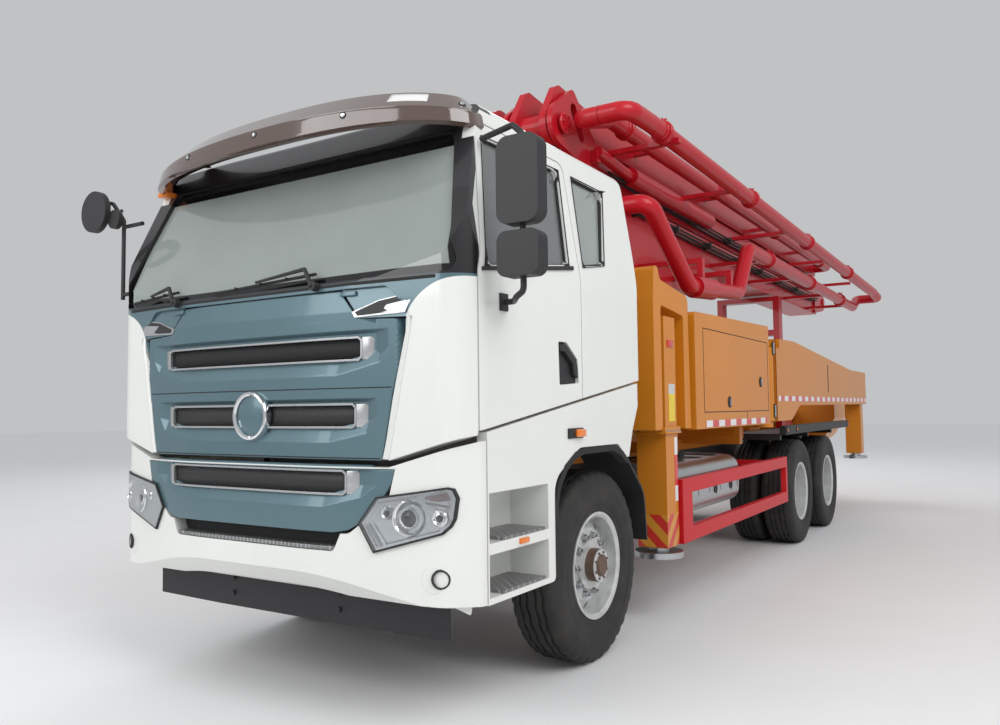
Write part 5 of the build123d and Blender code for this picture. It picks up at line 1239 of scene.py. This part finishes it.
def body_sides():
    """Seams, latches, hinges and strips on the side lockers and rear arms."""
    for side_name, side in (("left", 1), ("right", -1)):
        near, far = side * 1.2385, side * 1.2415

        def strip(shape, x0, x1, z0, z1, inner=near, outer=far):
            add_block(shape, (x0, min(inner, outer), z0), (x1, max(inner, outer), z1))

        lines = bmesh.new()
        strip(lines, 1.16, 2.98, 2.028, 2.034)
        strip(lines, 1.16, 2.98, 1.398, 1.404)
        strip(lines, 1.157, 1.163, 1.398, 2.034)
        strip(lines, 2.977, 2.983, 1.398, 2.034)
        strip(lines, 1.86, 1.866, 1.277, 1.4)
        make_piece(f"locker_seams_{side_name}", "chassis", lines, "void")
        hazard = bmesh.new()
        strip(hazard, 1.22, 2.96, 1.288, 1.338, near, side * 1.2425)
        make_piece(f"locker_strip_{side_name}", "chassis", hazard, "hazard_strip")
        cups, knobs = bmesh.new(), bmesh.new()
        for x, z in ((2.36, 1.478), (1.42, 1.66)):
            centre = Vector((x, side * 1.241, z))
            add_ring(cups, centre, (0, side, 0), 0.03, 0.047, 0.012, 28, 0.004)
            add_bar(cups, centre - Vector((0, side * 0.004, 0)), centre, 0.032, 24)
            add_block(knobs, (x - 0.009, min(side * 1.24, side * 1.256), z - 0.028),
                      (x + 0.009, max(side * 1.24, side * 1.256), z + 0.028), 0.004)
        make_piece(f"locker_latches_{side_name}", "chassis", cups, "trim")
        make_piece(f"locker_keys_{side_name}", "chassis", knobs, "steel")

        arm = f"rear_outrigger_{side_name}"
        hazard = bmesh.new()
        strip(hazard, -4.36, 0.78, 1.49, 1.54, near, side * 1.2425)
        make_piece(f"arm_strip_{side_name}", arm, hazard, "hazard_strip")
        lines = bmesh.new()
        strip(lines, -1.645, -1.615, 1.60, 1.93, near, side * 1.2418)
        strip(lines, 0.846, 0.852, 1.30, 2.09)
        make_piece(f"arm_seams_{side_name}", arm, lines, "void")
        # dark patches round the hinges: painted shade in the hinge wells
        well_shade = bmesh.new()
        for low, high in ((1.33, 1.46), (1.93, 2.06)):
            add_block(well_shade, (0.89, min(side * 1.2385, side * 1.2425), low), (0.965, max(side * 1.2385, side * 1.2425), high), 0.002)
        make_piece(f"arm_hinge_well_shade_{side_name}", arm, well_shade, "void")
        barrels = bmesh.new()
        for low, high in ((1.34, 1.45), (1.94, 2.05)):
            add_bar(barrels, (0.927, side * 1.236, low), (0.927, side * 1.236, high), 0.014, 16)
        make_piece(f"arm_hinges_{side_name}", arm, barrels, "steel")


def legs():
    """Strips, flange, bolts, reflector and label on the front legs; rods and pads are CAD."""
    for side_name, side in (("left", 1), ("right", -1)):
        body = f"front_outrigger_{side_name}"
        out = side * 1.215
        flange, bolts = bmesh.new(), bmesh.new()
        add_block(flange, (LEG_X - 0.145, min(side * 1.005, side * 1.235), 1.262), (LEG_X + 0.145, max(side * 1.005, side * 1.235), 1.276),
                  0.003)
        for index in range(8):
            x = LEG_X - 0.126 + index * 0.036
            add_bar(bolts, (x, side * 1.226, 1.274), (x, side * 1.226, 1.287), 0.0085, 6)
        make_piece(f"leg_flange_{side_name}", body, flange, "body_orange")
        make_piece(f"leg_bolts_{side_name}", body, bolts, "steel")
        strip = bmesh.new()
        add_block(strip, (LEG_X - 0.05 - 0.05, min(out, out + side * 0.0025), 0.80), (LEG_X - 0.05, max(out, out + side * 0.0025), 1.235))
        make_piece(f"leg_strip_{side_name}", body, strip, "leg_strip")
        stripes = bmesh.new()
        add_block(stripes, (LEG_X - 0.1065, side * 1.11 - 0.1065, 0.505), (LEG_X + 0.1065, side * 1.11 + 0.1065, 0.72))
        make_piece(f"leg_stripes_{side_name}", body, stripes, "leg_stripes")
        label, reflector = bmesh.new(), bmesh.new()
        add_block(label, (LEG_X - 0.075, min(out, out + side * 0.0025), 1.345), (LEG_X + 0.035, max(out, out + side * 0.0025), 1.6))
        make_piece(f"leg_label_{side_name}", body, label, "label")
        add_block(reflector, (LEG_X - 0.06, min(out, out + side * 0.006), 1.85), (LEG_X + 0.05, max(out, out + side * 0.006), 1.9), 0.002)
        make_piece(f"leg_reflector_{side_name}", body, reflector, "red_lens", slot="lamp")
        eye = bmesh.new()
        add_ring(eye, (3.838, side * 1.088, 2.34), (0, side, 0), 0.014, 0.03, 0.014, 20, 0.003)
        make_piece(f"leg_lifting_eye_{side_name}", body, eye, "body_orange")


def tank_details():
    """Ribs, straps and filler cap on the fuel tank."""
    for side_name, side in (("left", 1), ("right", -1)):
        section = [(0.560, 0.70), (0.62, 0.64), (1.04, 0.64), (1.15, 0.75), (1.15, 0.92), (1.04, 1.03), (0.62, 1.03),
                   (0.56, 0.97)]
        section = [(0.62, 0.64), (1.005, 0.64), (1.08, 0.66), (1.13, 0.71), (1.15, 0.78), (1.15, 0.89), (1.13, 0.96),
                   (1.08, 1.01), (1.005, 1.03), (0.62, 1.03), (0.578, 1.012), (0.56, 0.97), (0.56, 0.70), (0.578, 0.658)]
        ribs, straps = bmesh.new(), bmesh.new()
        own = [(side * y, z) for y, z in section]
        if side < 0:
            own.reverse()
        for x in (1.9, 3.33):
            add_frame(ribs, own, 0.008, "x", x - 0.012, x + 0.012)
        for x in (2.35, 2.62, 2.88):
            add_frame(ribs, own, 0.004, "x", x - 0.02, x + 0.02)
        make_piece(f"tank_ribs_{side_name}", "chassis", ribs, "steel", bevel=0.002)
        for x in (2.1, 2.5, 3.13):
            add_frame(straps, own, 0.009, "x", x - 0.03, x - 0.018)
            add_frame(straps, own, 0.006, "x", x - 0.018, x + 0.03)
        make_piece(f"tank_straps_{side_name}", "chassis", straps, "trim", bevel=0.002)
        cap = bmesh.new()
        centre = Vector((2.74, side * 0.93, 1.03))
        add_lathe(cap, [(0, 0.07), (0.045, 0.068), (0.055, 0.06), (0.056, 0.03), (0.044, 0.026), (0.044, -0.01),
                        (0, -0.01)], centre, (0, 0, 1), 32, closed=False)
        for index in range(12):
            angle = math.pi * index / 6
            add_block(cap, centre + Vector((0.05 * math.cos(angle) - 0.004, 0.05 * math.sin(angle) - 0.004, 0.034)),
                      centre + Vector((0.05 * math.cos(angle) + 0.008, 0.05 * math.sin(angle) + 0.008, 0.058)))
        make_piece(f"tank_cap_{side_name}", "chassis", cap, "trim")


# ------------------------------------------------------------------ boom

def couplings():
    """Two-part clamps with lever and lugs on the straight delivery pipes."""
    spots = {
        "section_1": ((-0.3, 0.9, 3.063), (-2.4, 0.9, 3.064), (-4.5, 0.9, 3.065)),
        "section_2": ((2.8, 0.889, 3.64), (0.6, 0.973, 3.549), (-1.6, 1.056, 3.457), (-3.8, 1.14, 3.366)),
        "section_3": ((2.6, 0.48, 3.8), (0.2, 0.48, 3.8), (-2.4, 0.48, 3.8), (-5.2, 0.48, 3.8)),
        "section_4": ((2.4, -0.82, 3.48), (-0.8, -0.82, 3.48), (-4.6, -0.82, 3.48)),
        "section_5": ((2.3, -0.71, 3.779), (-1.0, -0.71, 3.775), (-4.3, -0.71, 3.77)),
    }
    for body, places in spots.items():
        line = (Vector(PIPES[body][-1]) - Vector(PIPES[body][0])) if body != "section_1" else Vector((-1, 0, 0))
        line.normalize()
        radius = 0.072 if body in ("section_1", "section_2", "section_3") else 0.062
        shape = bmesh.new()
        for place in places:
            place = Vector(place)
            add_ring(shape, place, line, radius - 0.002, radius + 0.022, 0.05, 32, 0.008)
            for offset in (-0.05, 0.05):
                add_ring(shape, place + line * offset, line, radius - 0.002, radius + 0.01, 0.03, 32, 0.006)
            up = Vector((0, 0, 1))
            aside = line.cross(up).normalized()
            for sign in (1, -1):
                base = place + up * (radius + 0.012) + aside * sign * 0.02
                add_bar(shape, base - line * 0.02, base + line * 0.02, 0.014, 12)
            add_bar(shape, place + up * (radius + 0.03) - aside * 0.04, place + up * (radius + 0.03) + aside * 0.05,
                    0.007, 10)
            add_bar(shape, place + up * (radius + 0.005), place + up * (radius + 0.045), 0.009, 10)
        make_piece(f"{body}_couplings", body, shape, "boom_red", bevel=0.001)


def pin_caps():
    """End plates with bolts on the pivot pins."""
    for name, body, centre, radius in (
            ("pin_1", "turret", (3.15, MAIN_Y + 0.34, 3.0), 0.12), ("pin_1b", "turret", (3.15, MAIN_Y - 0.34, 3.0), 0.12),
            ("pin_2", "section_1", (-6.05, MAIN_Y - 0.275, 3.23), 0.085),
            ("pin_3", "section_2", (3.45, MAIN_Y + 0.25, 3.635), 0.085),
            ("pin_3b", "section_2", (3.45, MAIN_Y - 0.25, 3.635), 0.085),
            ("pin_5", "section_4", (3.33, SIDE_Y + 0.2, 3.73), 0.07)):
        centre = Vector(centre)
        out = Vector((0, 1 if name[-1] != "b" and name != "pin_2" else -1, 0))
        cap = bmesh.new()
        add_lathe(cap, [(0, 0.018), (radius - 0.008, 0.018), (radius, 0.01), (radius, -0.002), (0, -0.002)], centre,
                  out, 36, closed=False)
        for index in range(6):
            angle = math.pi * index / 3
            spot = centre + Vector((0.68 * radius * math.cos(angle), 0, 0.68 * radius * math.sin(angle)))
            add_bar(cap, spot + out * 0.016, spot + out * 0.03, 0.01, 6)
        make_piece(f"{name}_cap", body, cap, "boom_red", bevel=0.001)


def hose_runs():
    """Black hydraulic lines clamped along the sections."""
    for index in range(4):
        y, z = 0.33 + index * 0.026, 3.185 + (index % 2) * 0.03
        hose(f"section_1_hose_{index}", "section_1",
             [(2.35, y, 3.21), (1.2, y, z), (-0.6, y, z - 0.01), (-2.4, y, z), (-4.2, y, z - 0.01), (-5.4, y, z)], 0.0105)
    for index in range(4):
        y, z = 0.297 + index * 0.024, 3.40 + (index % 2) * 0.028
        hose(f"section_2_hose_{index}", "section_2",
             [(-5.2, y, z), (-3.6, y, z - 0.008), (-1.8, y, z), (-0.2, y, z - 0.01), (1.4, y, z + 0.01),
              (2.6, y, z + 0.03)], 0.0105)
    clamps = bmesh.new()
    for x in (2.1, 1.2, 0.2, -0.9, -1.9, -2.9, -3.9, -4.9):
        add_block(clamps, (x - 0.02, 0.318, 3.165), (x + 0.02, 0.43, 3.235), 0.004)
    make_piece("section_1_hose_clamps", "section_1", clamps, "trim")
    clamps = bmesh.new()
    for x in (-4.7, -3.7, -2.7, -1.7, -0.7):
        add_block(clamps, (x - 0.02, 0.284, 3.378), (x + 0.02, 0.385, 3.45), 0.004)
    make_piece("section_2_hose_clamps", "section_2", clamps, "trim")


def rear_end():
    """Lamps in trim rings behind the hopper's sides."""
    for side_name, side in (("left", 1), ("right", -1)):
        lamps = bmesh.new()
        for x in (-2.98, -0.05, 0.36):
            centre = Vector((x, side * 1.2155, 1.196))
            add_ring(lamps, centre, (0, side, 0), 0.022, 0.03, 0.014, 24, 0.004)
        make_piece(f"bar_lamp_rings_{side_name}", "chassis", lamps, "trim")
        glow = bmesh.new()
        for x in (-2.98, -0.05, 0.36):
            centre = Vector((x, side * 1.2155, 1.196))
            add_lathe(glow, [(0, 0.01), (0.018, 0.006), (0.023, -0.002), (0, -0.002)], centre, (0, side, 0), 20,
                      closed=False)
        make_piece(f"bar_lamps_{side_name}", "chassis", glow, "amber", slot="lamp")


MATERIALS["board_black"] = paint("board_black", (0.01, 0.01, 0.013), 0.55, 0.12, 0.8, (0.1, 0.09, 0.08), coat=0.05)
MATERIALS["pink_lens"] = glass_material("pink_lens", (0.62, 0.42, 0.42), 0.6, 0.08)
MATERIALS["silver_trim"] = wheel_material("silver_trim", (0.5, 0.51, 0.52), 0.24, 0.7)
MATERIALS["hub_brown"] = wheel_material("hub_brown", (0.1, 0.055, 0.035), 0.5, 0.2)
satin = Shader("chrome_satin")
satin.finish(satin.mix(satin.noise(30), (0.5, 0.51, 0.52), (0.66, 0.67, 0.68)), satin.noise(14) * 0.15 + 0.2, 0.9)
MATERIALS["chrome_satin"] = satin.material
MATERIALS["dark_lens"] = glass_material("dark_lens", (0.06, 0.06, 0.065), 0.85, 0.03)

studio()
wheels()
grille()
front_panel()
badge()
vents()
seams()
windscreen_trim()
headlamps()
bumper_details()
cab_sides()
mirror_heads()
seats()
body_sides()
legs()
tank_details()
couplings()
pin_caps()
hose_runs()
rear_end()
